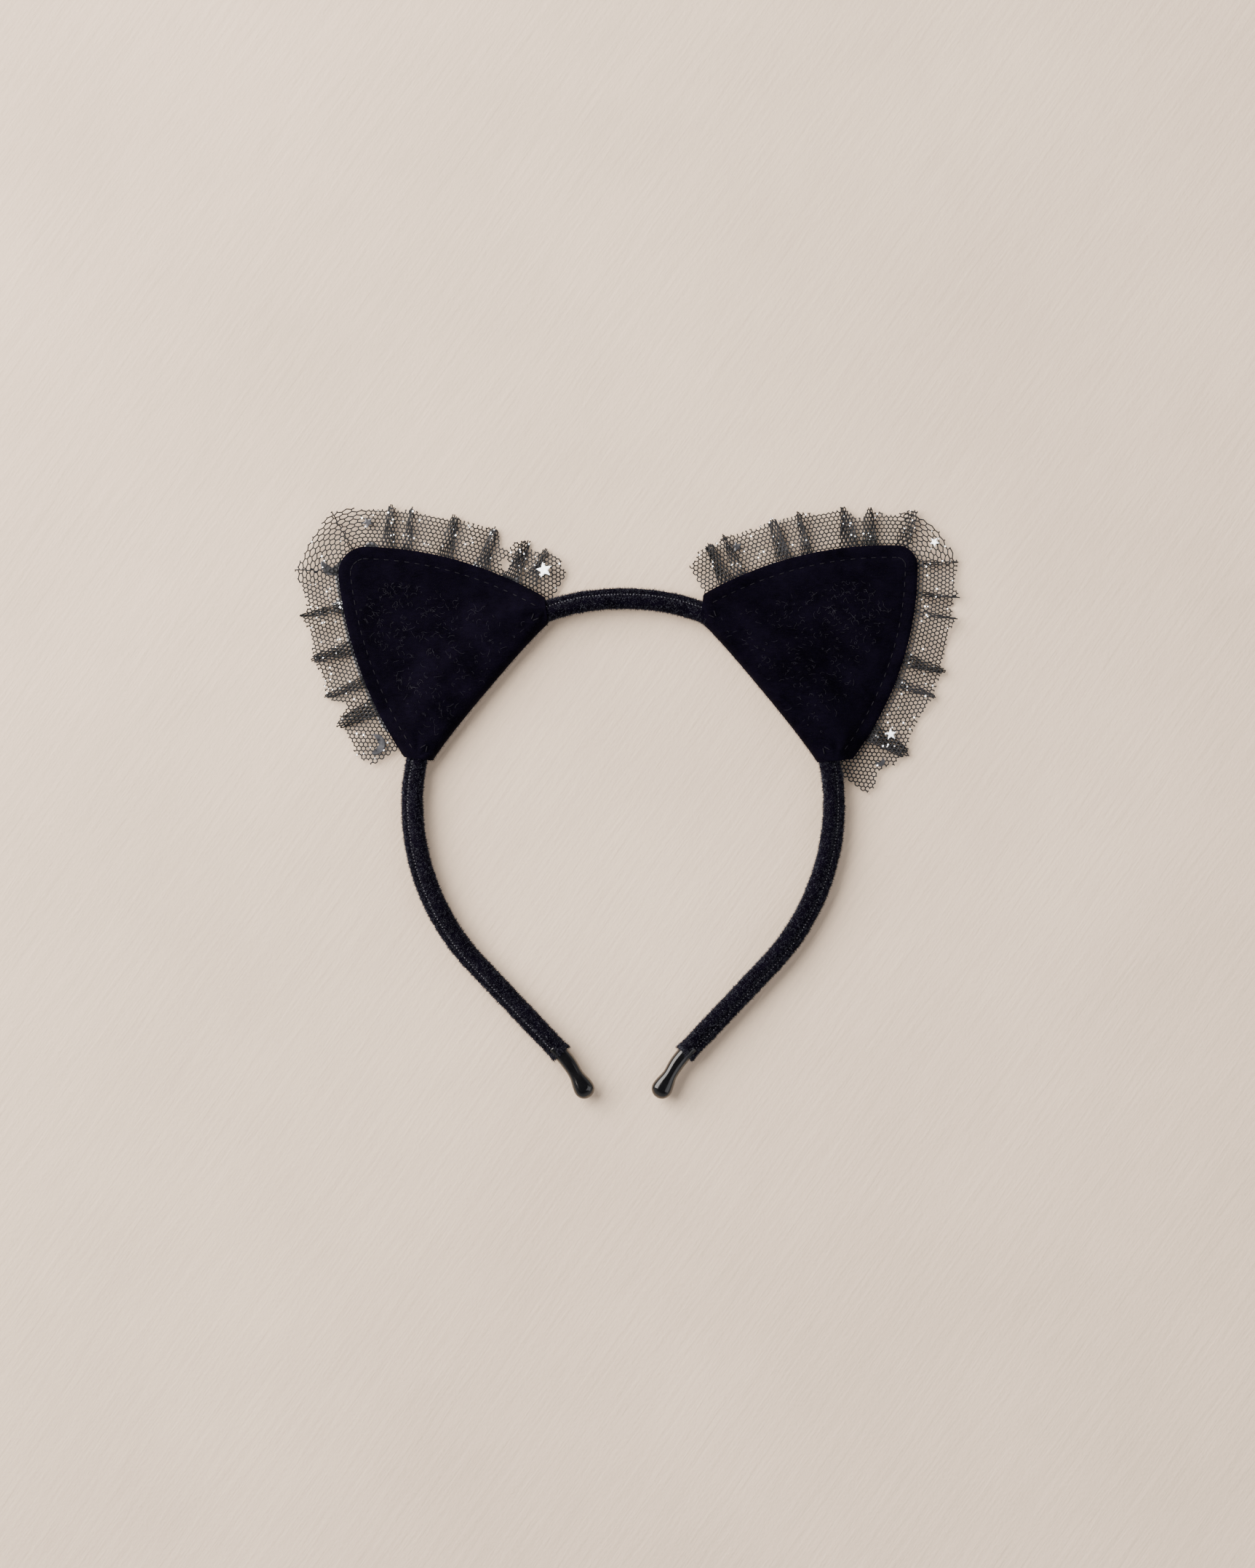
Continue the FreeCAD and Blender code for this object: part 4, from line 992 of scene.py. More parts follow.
class Ruffle:
    """A strip of tulle gathered along an ear's sewn edge with Z folds, which open out towards its rim."""

    STEP = 0.25 * MM
    SPREAD = 20 * MM  # length over which the pleats even out
    OPENS = 0.6  # how far the net has evened out at its rim, as a share
    LIFTS = (0.8 * MM, 0.45 * MM)  # how far a pleat's back and top layers stand over the net
    # How far the ruffle runs past the lower and the crown end of the sewn edge.
    PAST = {"left": (-3.0 * MM, 2.6 * MM), "right": (5.5 * MM, 0.0 * MM)}
    # Dips in the cut rim, in millimetres: (distance along the sewn edge, depth, half width).
    DIPS = {
        "left": [(21, 3.6, 2.2), (108.5, 4.6, 2.2)],
        "right": [(1.5, 3.4, 3.2), (65, 1.6, 4.0), (72, 2.8, 3.2), (80.5, 3.6, 3.4)],
    }

    def __init__(self, ear, trim):
        self.ear, self.trim = ear, trim
        self.rng = np.random.default_rng(41 + ear.side)
        before, after = self.PAST[ear.name]
        flat, along, lift = [0.0], [-before], [0.0]
        self.corners = []
        for place, back_layer in PLEATS[ear.name]:
            fold = trim.fullness * back_layer * MM * self.rng.uniform(0.94, 1.08)
            middle = place * MM
            turn_out, turn_back = middle + fold / 2, middle - fold / 2
            flat.append(flat[-1] + turn_out - along[-1])
            along.append(turn_out)
            lift.append(0.0)
            self.corners.append(flat[-1] + fold / 2)
            flat.append(flat[-1] + fold)
            along.append(turn_back)
            lift.append(self.LIFTS[0])
            flat.append(flat[-1] + fold * 1.3)
            along.append(turn_back + fold * 1.3)
            lift.append(self.LIFTS[1])
        flat.append(flat[-1] + self.ear.length + after - along[-1])
        along.append(self.ear.length + after)
        lift.append(0.0)
        self.width = flat[-1]
        self.flat = np.arange(0, self.width, self.STEP)
        self.tight = np.interp(self.flat, flat, along)
        self.lift = np.interp(self.flat, flat, lift)
        window = np.hanning(int(self.SPREAD / self.STEP) | 1)
        half = len(window) // 2
        padded = np.concatenate([
            self.tight[0] - (np.arange(half, 0, -1) * self.STEP), self.tight,
            self.tight[-1] + np.arange(1, half + 1) * self.STEP])
        self.loose = np.convolve(padded, window / window.sum(), mode="valid")
        self.waves = [
            (self.rng.uniform(6, 19) * MM, self.rng.uniform(0, 6.3), self.rng.uniform(0.2, 0.5))
            for _ in range(5)]

    def rim(self, flat):
        """How far out the cut rim is at distances along the flat strip."""
        corners = np.array([0.0, *self.corners, self.width])
        reach = np.full(np.shape(flat), self.trim.ruffle)
        depths = np.random.default_rng(7 + self.ear.side).uniform(0.45, 1.1, len(corners))
        for first, last, depth in zip(corners, corners[1:], depths):
            share = np.clip((flat - first) / (last - first), 0, 1)
            inside = (share > 0) & (share < 1)
            bow = depth * self.trim.scallop * np.sin(math.pi * share) ** 0.9
            reach = reach - np.where(inside, bow, 0)
        along = np.interp(flat, self.flat, self.tight)
        for place, depth, width in self.DIPS[self.ear.name]:
            reach = reach - depth * MM * np.exp(-((along - place * MM) / (width * MM)) ** 2)
        ends = np.minimum(flat, self.width - flat)
        return reach - 3.5 * MM * (1 - eased(ends / (5 * MM)))

    def worn(self, points):
        """Which points of the net are gone."""
        ear, lost = self.ear, np.zeros(len(points), bool)
        for share, out, half_width, half_height in GAPS[ear.name]:
            spot, normal = ear.edge(share * ear.length)
            centre = ear.placed((spot + normal * out * MM)[None], 0.0)[0]
            away = (points - centre)[:, :2] / (np.array([half_width, half_height]) * MM)
            lost |= (away ** 2).sum(1) < 1
        return lost

    def at(self, flat, out):
        """Points of the gathered tulle at distances along and across the flat strip."""
        share = np.clip(out / self.trim.ruffle, 0, 1)
        opened = self.OPENS * share ** 0.85
        tight = np.interp(flat, self.flat, self.tight)
        loose = np.interp(flat, self.flat, self.loose)
        stop = tight + (loose - tight) * opened
        point, normal = self.ear.edge(stop)
        lift = np.interp(flat, self.flat, self.lift) * np.clip(1 - opened / self.OPENS, 0, 1)
        wave = sum(size * np.sin(flat / length * 2 * math.pi + phase) for length, phase, size in self.waves)
        start = 1.78 * MM - 0.55 * MM * eased((out - 1.0 * MM) / (4 * MM))
        ridge = lift * (0.35 + eased(out / (3 * MM)))
        level = start + ridge + (wave + 0.45) * share * MM
        return self.ear.placed(point + normal * out[..., None], np.maximum(level, 0.22 * MM))


def make_net(ruffle):
    """The tulle's hexagonal net, strand by strand."""
    trim, rng = ruffle.trim, ruffle.rng
    pitch = trim.net_pitch
    strand = pitch / math.sqrt(3)
    columns = int(ruffle.width / (pitch / 2)) + 1
    rows = int((trim.header + trim.ruffle + MM) / (1.5 * strand)) + 1
    i, j = np.meshgrid(np.arange(columns), np.arange(rows), indexing="ij")
    uneven = 0.045 * MM
    along = i * pitch / 2
    out = -trim.header + j * 1.5 * strand + ((i + j) % 2) * strand / 2
    along = along + rng.normal(0, uneven, along.shape)
    out = out + rng.normal(0, uneven, out.shape)
    knot = np.arange(columns * rows).reshape(columns, rows)
    rising = ((i + j) % 2 == 1)[:, :-1]
    links = np.concatenate([
        np.stack([knot[:-1].ravel(), knot[1:].ravel()], -1),
        np.stack([knot[:, :-1][rising], knot[:, 1:][rising]], -1)])
    along, out = along.ravel(), out.ravel()
    points = ruffle.at(along, out)
    inside = (out < ruffle.rim(along)) & ~ruffle.worn(points)
    links = links[inside[links].any(1)]
    starts, ends = points[links[:, 0]].copy(), points[links[:, 1]].copy()
    cut = rng.uniform(0.15, 0.7, (len(links), 1))
    first_out, last_out = ~inside[links[:, 0]], ~inside[links[:, 1]]
    ends = np.where(last_out[:, None], starts + (ends - starts) * cut, ends)
    starts = np.where(first_out[:, None], ends + (starts - ends) * cut, starts)
    own, faces = strands(starts, ends, trim.net_strand / 2)
    return own, faces, points[inside & (out > 1.5 * MM)]


# ---------------------------------------------------------------- foil shapes

def star_outline(radius, waist):
    angles = np.radians(90 + 36 * np.arange(10))
    reach = np.where(np.arange(10) % 2, radius * waist, radius)
    return np.stack([np.cos(angles), np.sin(angles)], -1) * reach[:, None]


def moon_outline(radius, stout):
    """A crescent that opens towards +X."""
    inner, shift = radius * (1 - 0.31 * stout), radius * stout
    cross = (radius ** 2 - inner ** 2 + shift ** 2) / (2 * shift)
    horn = math.acos(cross / radius)
    inner_horn = math.acos((cross - shift) / inner)
    outside = np.linspace(horn, 2 * math.pi - horn, 26)
    inside = np.linspace(2 * math.pi - inner_horn, inner_horn, 22)[1:-1]
    back = np.stack([np.cos(outside), np.sin(outside)], -1) * radius
    front = np.stack([np.cos(inside), np.sin(inside)], -1) * inner + [shift, 0]
    return np.vstack([back, front])


def foil_shape(outline, thickness, spot, degrees, tilt, dome):
    """One punched foil shape, curled a little, with a raised middle and a thin bevelled edge."""
    curl, clear = 9.0, 0.1 * MM
    around = len(outline)
    middle = outline.mean(0)
    crescent = around > 10
    partner = outline[::-1] if crescent else np.broadcast_to(middle, outline.shape)
    shrunk = [outline, outline + (partner - outline) * 0.06, outline + (partner - outline) * 0.32]
    heights = [0.0, thickness * 0.5, thickness * 0.5 + dome]
    top = [np.column_stack([ring, np.full(around, height)]) for ring, height in zip(shrunk, heights)]
    bottom = [ring * [1, 1, -0.4] for ring in top[1:][::-1]]
    points, faces = skin(np.array([*bottom, *top]), True, True)
    spin = math.radians(degrees)
    turned = np.array([[math.cos(spin), -math.sin(spin)], [math.sin(spin), math.cos(spin)]])
    flat = points[:, :2] @ turned.T
    rise = points[:, 2] + flat @ tilt + curl * (flat ** 2).sum(1)
    lift = max(clear - spot[2] - rise.min(), 0.0)
    return np.column_stack([flat, rise + lift]) + spot, faces


# ---------------------------------------------------------------- operators

class PieceOperator:
    """What the operators share."""
    bl_options = {"REGISTER", "UNDO"}


class EARS_OT_stage(PieceOperator, bpy.types.Operator):
    """Floor, lights and camera"""
    bl_idname = "ears.stage"
    bl_label = "Stage"

    FLOOR_HALF = 1.6
    LIGHTS = (  # name, place, width and depth, watts, colour
        ("key", (-0.86, 0.46, 0.92), (1.25, 1.25), 53.0, (1.0, 0.955, 0.90)),
        ("fill", (0.75, -0.25, 0.95), (0.9, 0.9), 4.0, (0.97, 0.97, 1.0)),
        ("back", (0.1, 1.1, 0.7), (0.8, 0.4), 2.4, (1.0, 0.98, 0.95)),
    )
    CAMERA_HEIGHT = 1.6
    VIEW_LONG_SIDE = 0.4587  # of the floor, along the view's longer side
    SENSOR = 36.0

    def execute(self, context):
        corners = np.array([(-1, -1, 0), (1, -1, 0), (1, 1, 0), (-1, 1, 0)], float) * self.FLOOR_HALF
        floor = make_piece("floor", corners, [np.array([[0, 1, 2, 3]])], "plaster_floor", smooth=False)
        for lamp in self.LIGHTS:
            self.light(*lamp)
        world = bpy.data.worlds.new("studio")
        studio_light(world)
        context.scene.world = world
        data = bpy.data.cameras.new("camera")
        data.sensor_width = self.SENSOR
        data.lens = self.SENSOR * self.CAMERA_HEIGHT / self.VIEW_LONG_SIDE
        data.clip_end = 20
        camera = bpy.data.objects.new("camera", data)
        low, high = CAD_BOX
        camera.location = ((low.x + high.x) / 2 + 1.3 * MM, 5.7 * MM, self.CAMERA_HEIGHT)
        context.scene.collection.objects.link(camera)
        context.scene.camera = camera
        return {"FINISHED"}

    @staticmethod
    def light(name, place, span, power, tone):
        data = bpy.data.lights.new(name, "AREA")
        data.shape = "RECTANGLE"
        data.size, data.size_y = span
        data.energy = power
        data.color = tone
        lamp = bpy.data.objects.new(name, data)
        lamp.location = place
        lamp.rotation_euler = (-Vector(place)).to_track_quat("-Z", "Y").to_euler()
        bpy.context.scene.collection.objects.link(lamp)


class EARS_OT_strips(PieceOperator, bpy.types.Operator):
    """Steel finish on the spring strips, and thread finish on the hidden gathering threads"""
    bl_idname = "ears.strips"
    bl_label = "Spring strips"

    def execute(self, context):
        finishes = {"spring_strip": "spring_steel", "gathering_thread": "black_thread"}
        for name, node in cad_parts.items():
            for start, finish in finishes.items():
                if name.startswith(start):
                    node.data.materials.clear()
                    node.data.materials.append(finish_of(finish))
        return {"FINISHED"}


class EARS_OT_sleeves(PieceOperator, bpy.types.Operator):
    """Velvet sleeve over the crown and down each arm, with its pile"""
    bl_idname = "ears.sleeves"
    bl_label = "Sleeves"

    def execute(self, context):
        band, line = context.scene.ears_band, band_now()
        inside_ear, up_from_hinge = 26 * MM, 30 * MM
        rings = sleeve_rings(line, 1, -inside_ear, inside_ear, 3)
        crown = self.sleeve("sleeve_crown", rings)
        pile = make_pile("pile_crown", rings, band.pile_length, band.pile_count // 3, 5)
        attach(crown, "crown")
        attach(pile, "crown")
        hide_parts("velvet_sleeve_crown")
        for seed, (name, side) in enumerate(SIDES.items(), start=11):
            rings = sleeve_rings(line, side, line.hinge - up_from_hinge, line.sleeve_end, seed)
            rings = self.ragged(rings, seed)
            arm = self.sleeve(f"sleeve_{name}", rings)
            pile = make_pile(f"pile_{name}", rings, band.pile_length, band.pile_count, seed + 20)
            fringe = self.fringe(f"sleeve_fringe_{name}", rings, seed + 40)
            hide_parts(f"velvet_sleeve_{name}")
            for piece in (arm, pile):
                bend_arm(piece, line, name)
            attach(fringe, f"{name}_arm")
        return {"FINISHED"}

    @staticmethod
    def sleeve(name, rings):
        points, faces = skin(rings, True, True)
        piece = make_piece(name, points, faces, "velvet_cloth")
        fix_normals(piece)
        return piece

    @staticmethod
    def ragged(rings, seed):
        """Swells and wavers the last few rings, where the cloth is cut."""
        rng = np.random.default_rng(seed)
        count = 4
        middle = rings[-count:].mean(1, keepdims=True)
        uneven = rng.uniform(0.4, 1.6, (1, rings.shape[1], 1))
        flare = 1 + np.linspace(0.0, 0.04, count)[:, None, None] * uneven
        rings = rings.copy()
        rings[-count:] = middle + (rings[-count:] - middle) * flare
        return rings

    @staticmethod
    def fringe(name, rings, seed):
        """Cut threads round the end of the sleeve."""
        rng = np.random.default_rng(seed)
        count = 420
        roots, normals = scattered(rings, count, rng, share=rng.uniform(0.985, 1.0, count))
        onward = (rings[-1] - rings[-4]).mean(0)
        onward /= np.linalg.norm(onward)
        ways = onward + normals * rng.uniform(0.05, 0.7, (count, 1)) + rng.normal(0, 0.22, (count, 3))
        ways *= rng.uniform(0.5, 1.3, (count, 1)) * MM / np.linalg.norm(ways, axis=1, keepdims=True)
        points, faces = tufts(roots, ways, 0.08 * MM)
        return make_piece(name, points, faces, "brushed_pile")


class EARS_OT_seams(PieceOperator, bpy.types.Operator):
    """Fine stitches along the sleeves"""
    bl_idname = "ears.seams"
    bl_label = "Sleeve seams"

    def execute(self, context):
        band, line = context.scene.ears_band, band_now()
        inside_ear, up_from_hinge = 24 * MM, 28 * MM
        crown = make_seam("seam_crown", line, 1, -inside_ear, inside_ear, band.seam_pitch, 61)
        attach(crown, "crown")
        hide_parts("sleeve_seam_thread_crown")
        for seed, (name, side) in enumerate(SIDES.items(), start=62):
            start, end = line.hinge - up_from_hinge, line.sleeve_end - MM
            seam = make_seam(f"seam_{name}", line, side, start, end, band.seam_pitch, seed)
            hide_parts(f"sleeve_seam_thread_{name}")
            bend_arm(seam, line, name)
        return {"FINISHED"}


class EARS_OT_caps(PieceOperator, bpy.types.Operator):
    """Glossy curled caps on the two tips"""
    bl_idname = "ears.caps"
    bl_label = "Tip caps"

    SWELL = 5 * MM  # length over which the neck widens into the round end
    IN_SLEEVE = 3 * MM
    THINNER = 0.25 * MM  # by how much the neck is thinner than the round end
    SQUARENESS = 2.8  # 2 is a round section, and more is squarer

    def execute(self, context):
        band, line = context.scene.ears_band, band_now()
        neck, bulb = band.cap_neck / 2, band.cap_bulb / 2
        for name, side in SIDES.items():
            low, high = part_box(f"tip_cap_{name}")
            half_depth = (high.z - low.z) / 2 - 0.15 * MM
            centre = line.tip - bulb
            shank = np.linspace(line.sleeve_end - self.IN_SLEEVE, centre - self.SWELL, 34)
            swell = np.linspace(centre - self.SWELL, centre, 16)[1:]
            dome = centre + bulb * np.sin(np.linspace(0, math.pi / 2, 20))[1:]
            stops = np.concatenate([shank, swell, dome])
            swollen = eased((stops - centre + self.SWELL) / self.SWELL)
            waist = 0.16 * MM * np.exp(-((stops - centre + 5.5 * MM) / (2.2 * MM)) ** 2)
            beyond = np.clip((stops - centre) / bulb, 0, 1)
            close = np.sqrt(np.maximum(1 - beyond ** 2, 0.0016))
            width = (neck + (bulb - neck) * swollen - waist) * close
            depth = (half_depth - self.THINNER + self.THINNER * swollen) * close
            spot, normal = line.at(side, stops)
            spin = np.linspace(0, 2 * math.pi, 40, endpoint=False)
            round_out, round_up = (
                np.sign(part) * np.abs(part) ** (2 / self.SQUARENESS) for part in (np.cos(spin), np.sin(spin)))
            flat = spot[:, None] + normal[:, None] * (width[:, None] * round_out)[..., None]
            up = line.level + depth[:, None] * round_up
            points, faces = skin(np.concatenate([flat, up[..., None]], -1), True, True)
            cap = make_piece(f"cap_{name}", points, faces, "glossy_cap")
            fix_normals(cap)
            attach(cap, f"{name}_arm")
            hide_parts(f"tip_cap_{name}")
        return {"FINISHED"}


class EARS_OT_covers(PieceOperator, bpy.types.Operator):
    """Velvet ears, each one sheet folded over the band"""
    bl_idname = "ears.covers"
    bl_label = "Ear covers"

    ROWS = 44  # rings of faces from the edge to the middle
    NAP_COUNT = 15000
    RIM_COUNT = 5200
    LINT_COUNT = 300
    LINT_STEPS = 8

    def execute(self, context):
        trim = context.scene.ears_trim
        for ear in ears_now():
            name = ear.name
            outline, shut = ear.outline()
            middle = np.array([0.0, 0.4 * ear.edge(ear.length / 2)[0][1]])
            points, faces = two_faced(ear, outline, shut, middle, self.ROWS, ear.front, ear.back)
            cover = make_piece(f"ear_{name}", points, faces, "velvet_cloth")
            fix_normals(cover)
            shell = cover.modifiers.new("velvet", "SOLIDIFY")
            shell.thickness = trim.cover_thickness
            shell.offset = -1
            apply_modifiers(cover)
            cover.data.polygons.foreach_set("use_smooth", np.ones(len(cover.data.polygons), bool))
            length = 2 * np.ptp(outline[:, 1]) + 2 * ear.level
            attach(cover, "crown")
            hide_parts(f"ear_cover_{name}")
            area = 2 * flat_area(outline) + 2 * ear.level * 2 * ear.base_half
            pile = self.pile(ear, outline)
            lint = self.lint(ear)
            for piece in (pile, lint):
                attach(piece, "crown")
        return {"FINISHED"}

    def pile(self, ear, outline):
        """Nap over the front, and a soft fringe of it along the fold and the sewn edge."""
        rng = np.random.default_rng(80 + ear.side)
        low, high = outline.min(0), outline.max(0)
        flat = rng.uniform(low, high, (self.NAP_COUNT * 2, 2))
        centre = outline.mean(0)
        angle = np.arctan2(*(flat - centre).T[::-1])
        rim_angle = np.arctan2(*(outline - centre).T[::-1])
        order = np.argsort(rim_angle)
        rim_reach = np.linalg.norm(outline - centre, axis=1)
        reach = np.interp(angle, rim_angle[order], rim_reach[order], period=2 * math.pi)
        flat = flat[np.linalg.norm(flat - centre, axis=1) < reach - 0.4 * MM][:self.NAP_COUNT]
        roots = ear.placed(flat, ear.front(flat) - 0.03 * MM)
        ways = np.column_stack([rng.normal(0, 0.5, (len(flat), 2)), np.ones(len(flat))])
        ways *= rng.uniform(0.25, 0.5, (len(flat), 1)) * MM / np.linalg.norm(ways, axis=1, keepdims=True)
        count = self.RIM_COUNT
        pick = rng.integers(0, len(outline), count)
        spot = outline[pick] + rng.normal(0, 0.25 * MM, (count, 2))
        outward = outline[pick] - centre
        outward /= np.linalg.norm(outward, axis=1, keepdims=True)
        fold = np.abs(outline[pick][:, 1]) < 2 * MM
        level = np.where(fold, ear.level + rng.uniform(-3, 3.2, count) * MM, ear.EDGE_LEVEL)
        rim_roots = ear.placed(spot - outward * 0.3 * MM, level)
        world_out = ear.placed(spot + outward * MM, level) - ear.placed(spot, level)
        rim_ways = world_out / MM + rng.normal(0, 0.45, (count, 3))
        reach = np.where(fold, rng.uniform(0.25, 0.65, count), rng.uniform(0.1, 0.36, count))
        rim_ways *= reach[:, None] * MM / np.linalg.norm(rim_ways, axis=1, keepdims=True)
        points, faces = tufts(np.vstack([roots, rim_roots]), np.vstack([ways, rim_ways]), 0.05 * MM)
        return make_piece(f"ear_pile_{ear.name}", points, faces, "velvet_pile")

    def lint(self, ear):
        """Stray curved fibres that cling to the velvet."""
        above, radius = 0.32 * MM, 0.024 * MM
        rng = np.random.default_rng(90 + ear.side)
        starts, ends = [], []
        for _ in range(self.LINT_COUNT):
            height = rng.uniform(3, 44)
            spot = np.array([rng.uniform(-1, 1) * (25 - 0.42 * height), height]) * MM
            heading, bend = rng.uniform(0, 2 * math.pi), rng.normal(0, 0.35)
            step = rng.uniform(0.08, 0.30) * MM
            for _ in range(self.LINT_STEPS):
                heading += bend
                onward = spot + step * np.array([math.cos(heading), math.sin(heading)])
                for bag, place in ((starts, spot), (ends, onward)):
                    bag.append(ear.placed(place[None], ear.front(place) + above)[0])
                spot = onward
        points, faces = strands(np.array(starts), np.array(ends), radius)
        return make_piece(f"lint_{ear.name}", points, faces, "lint_fibre")


class EARS_OT_stiffeners(PieceOperator, bpy.types.Operator):
    """Pale felt inside the ears, which shows along part of the edge"""
    bl_idname = "ears.stiffeners"
    bl_label = "Felt stiffeners"

    HIDDEN = 0.9 * MM  # how far inside the velvet's edge the felt ends where it doesn't show
    # Where the felt shows: how much of it, then shares of the sewn edge: where it starts, over what length it
    # comes out, where it ends and over what length it goes in.
    SHOWS = {"left": (1.0, 0.03, 0.06, 0.46, 0.05), "right": (0.55, 0.62, 0.05, 0.86, 0.05)}

    def execute(self, context):
        trim = context.scene.ears_trim
        for ear in ears_now():
            name = ear.name
            low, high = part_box(f"ear_stiffener_{name}")
            stops = np.linspace(0.02, 0.98, 260) * ear.length
            share = stops / ear.length
            much, start, comes, end, goes = self.SHOWS[name]
            shows = much * eased((share - start) / comes) * (1 - eased((share - end) / goes))
            rng = np.random.default_rng(70 + ear.side)
            waver = np.interp(stops, np.linspace(0, ear.length, 60), rng.normal(0, 0.11 * MM, 60))
            point, normal = ear.edge(stops)
            offset = -self.HIDDEN + (trim.felt_show + self.HIDDEN) * shows + waver
            sides = point + normal * offset[:, None]
            lower = np.linspace(sides[-1], sides[0], 90)[1:-1]
            lower[:, 1] += 7.0 * MM * np.sin(np.linspace(0, math.pi, 90))[1:-1]
            outline = np.vstack([sides, lower])
            middle = np.array([0.0, 30 * MM])
            shut = np.ones(len(outline), bool)
            faces_at = [
                lambda flat, level=level: np.full(len(flat), level)
                for level in (high.z - 0.75 * MM, low.z - 0.55 * MM)]
            points, faces = two_faced(ear, outline, shut, middle, 12, *faces_at)
            felt = make_piece(f"felt_{name}", points, faces, "pressed_felt")
            fix_normals(felt)
            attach(felt, "crown")
            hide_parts(f"ear_stiffener_{name}")
        return {"FINISHED"}


class EARS_OT_ruffles(PieceOperator, bpy.types.Operator):
    """Gathered tulle round the ears, with its sequins and glitter"""
    bl_idname = "ears.ruffles"
    bl_label = "Tulle ruffles"

    def execute(self, context):
        trim = context.scene.ears_trim
        for ear in ears_now():
            name = ear.name
            ruffle = Ruffle(ear, trim)
            points, faces, knots = make_net(ruffle)
            net = make_piece(f"tulle_{name}", points, faces, "nylon_net")
            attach(net, "crown")
            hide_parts(f"tulle_ruffle_{name}")
            trims = self.sequins(ear, knots, trim) + [self.glitter(ear, knots, trim)]
            for piece in trims:
                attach(piece, "crown")
        return {"FINISHED"}

    @staticmethod
    def sequins(ear, knots, trim):
        """Stars and moons that lie on the net, or are caught under the ear's edge."""
        caught_level, over_net, edge_reach = 1.75 * MM, 0.45 * MM, 3.0
        rng = np.random.default_rng(100 + ear.side)
        groups = {}
        for kind, foil, share, out, degrees, scale, stout in SEQUINS[ear.name]:
            point, normal = ear.edge(share * ear.length)
            flat = point + normal * out * MM
            spot = ear.placed(flat[None], caught_level)[0]
            if out > edge_reach:
                nearest = np.linalg.norm((knots - spot)[:, :2], axis=1).argmin()
                spot[2] = knots[nearest][2] + over_net
            make_outline = star_outline if kind == "star" else moon_outline
            outline = make_outline(getattr(trim, kind) * scale, stout)
            tilt = rng.normal(0, 0.04, 2) + (TOWARDS_KEY * 0.75 if foil == "silver" else 0)
            made = foil_shape(outline, trim.foil, spot, degrees, tilt, 0.05 * MM)
            groups.setdefault((kind, foil), []).append(made)
        pieces, stood = [], set()
        for (kind, foil), parts in groups.items():
            points, faces = joined(parts)
            finish = f"{foil}_foil"
            piece = make_piece(f"{foil}_{kind}s_{ear.name}", points, faces, finish, False)
            if kind not in stood:
                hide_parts(f"{kind}_sequins_{ear.name}")
                stood.add(kind)
            pieces.append(piece)
        return pieces

    @staticmethod
    def glitter(ear, knots, trim):
        """Flecks of white foil caught in the net."""
        rng = np.random.default_rng(110 + ear.side)
        parts = []
        angles = np.radians(60 * np.arange(6))
        for spot in knots[rng.choice(len(knots), trim.glitter, replace=False)]:
            radius = rng.uniform(0.16, 0.33) * MM
            outline = np.stack([np.cos(angles), np.sin(angles)], -1) * radius
            place = spot + [0, 0, 0.3 * MM]
            tilt = TOWARDS_KEY + rng.normal(0, 0.16, 2)
            parts.append(foil_shape(outline, 0.06 * MM, place, rng.uniform(0, 60), tilt, 0.01 * MM))
        points, faces = joined(parts)
        return make_piece(f"glitter_{ear.name}", points, faces, "silver_foil", False)


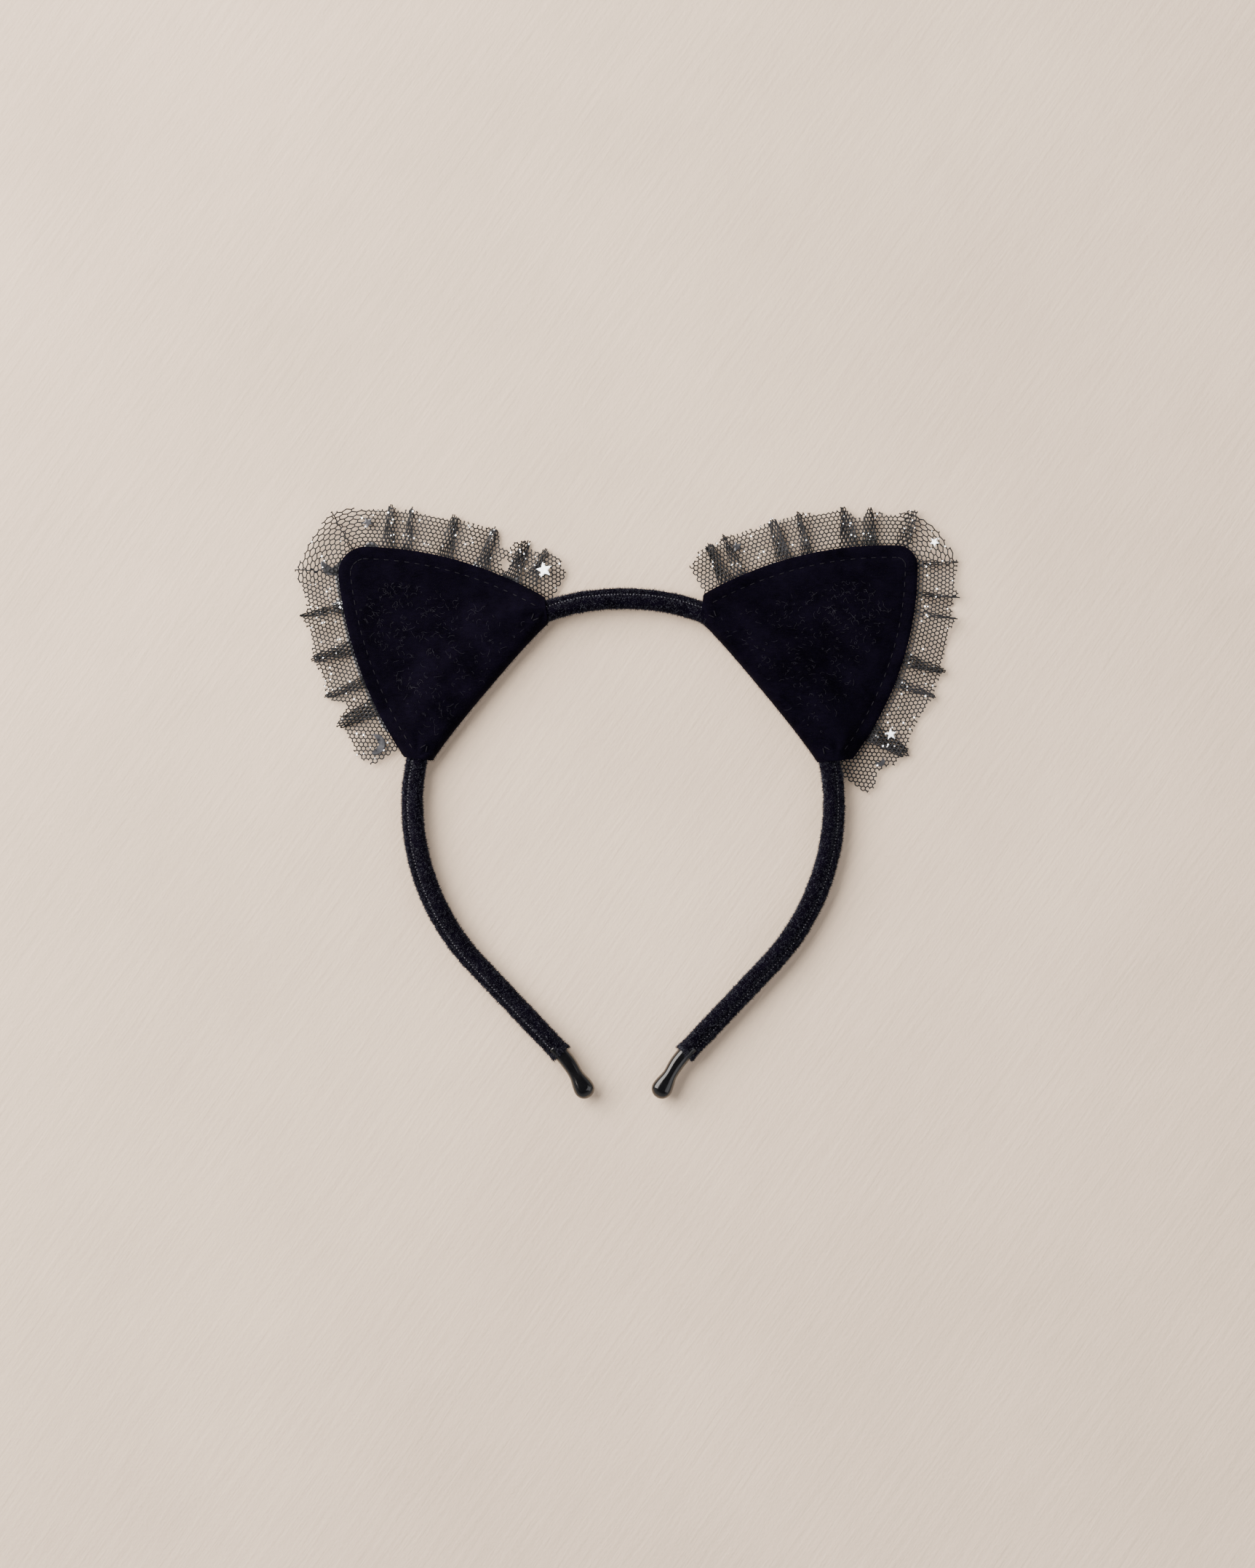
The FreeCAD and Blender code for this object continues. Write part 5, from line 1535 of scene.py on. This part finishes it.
class EARS_OT_stitches(PieceOperator, bpy.types.Operator):
    """Topstitches inside the ears' edges, and the tacks at their mouths"""
    bl_idname = "ears.stitches"
    bl_label = "Stitches"

    def execute(self, context):
        trim = context.scene.ears_trim
        half, inset = trim.stitch_length / 2, trim.stitch_inset
        for ear in ears_now():
            name = ear.name
            count = int(ear.length / trim.stitch_pitch)
            stops = (np.arange(count) + 0.5) * ear.length / count
            start, centre, end = (self.in_row(ear, stops + step, inset) for step in (-half, 0.0, half))
            points, faces = beads(centre, end - start, trim.stitch_length, trim.thread / 2)
            row = make_piece(f"topstitches_{name}", points, faces, "black_thread")
            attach(row, "crown")
            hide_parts(f"ear_topstitches_{name}")
            self.tacks(ear, name, trim)
        return {"FINISHED"}

    @staticmethod
    def on_front(ear, flat):
        return ear.placed(flat, ear.front(flat) + 0.05 * MM)

    def in_row(self, ear, stops, inset):
        """Points of the topstitches' row, on the front face."""
        point, normal = ear.edge(stops)
        return self.on_front(ear, point - normal * inset)

    def tacks(self, ear, name, trim):
        """Two crossing threads over the sleeve at each mouth."""
        length, half_span, above = 2.6 * MM, 1.2, 0.12 * MM
        centres, ways = [], []
        for hand in (-1, 1):
            inner = np.array([hand * (ear.base_half - 1.5 * MM), 3.2 * MM])
            for slant in (0.35, -0.5):
                spot = inner + [0, slant * 1.5 * MM]
                way = np.array([hand * 1.0, slant])
                pair = self.on_front(ear, np.array([spot - way * half_span * MM, spot + way * half_span * MM]))
                centres.append(pair.mean(0) + [0, 0, above])
                ways.append(pair[1] - pair[0])
        points, faces = beads(np.array(centres), np.array(ways), length, trim.thread / 2)
        piece = make_piece(f"tacks_{name}", points, faces, "black_thread")
        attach(piece, "crown")
        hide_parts(f"tack_stitches_{name}")


PIECES = (
    EARS_OT_stage, EARS_OT_strips, EARS_OT_sleeves, EARS_OT_seams, EARS_OT_caps, EARS_OT_covers,
    EARS_OT_stiffeners, EARS_OT_ruffles, EARS_OT_stitches,
)


class EARS_PT_panel(bpy.types.Panel):
    """Buttons that make the headband's pieces"""
    bl_idname = "EARS_PT_panel"
    bl_label = "Ears headband"
    bl_space_type = "VIEW_3D"
    bl_region_type = "UI"
    bl_category = "Ears"

    def draw(self, context):
        for operator in PIECES:
            self.layout.operator(operator.bl_idname)


GROUPS = {
    "ears_band": EARS_PG_band,
    "ears_left": EARS_PG_left,
    "ears_right": EARS_PG_right,
    "ears_trim": EARS_PG_trim,
    "ears_colours": EARS_PG_colours,
}


def register():
    for group in GROUPS.values():
        bpy.utils.register_class(group)
    for name, group in GROUPS.items():
        setattr(bpy.types.Scene, name, PointerProperty(type=group))
    for operator in PIECES:
        bpy.utils.register_class(operator)
    bpy.utils.register_class(EARS_PT_panel)


def unregister():
    bpy.utils.unregister_class(EARS_PT_panel)
    for operator in reversed(PIECES):
        bpy.utils.unregister_class(operator)
    for name in GROUPS:
        delattr(bpy.types.Scene, name)
    for group in reversed(GROUPS.values()):
        bpy.utils.unregister_class(group)


def main():
    register()
    for operator in PIECES:
        group, name = operator.bl_idname.split(".")
        getattr(getattr(bpy.ops, group), name)()


if __name__ == "__main__":
    main()
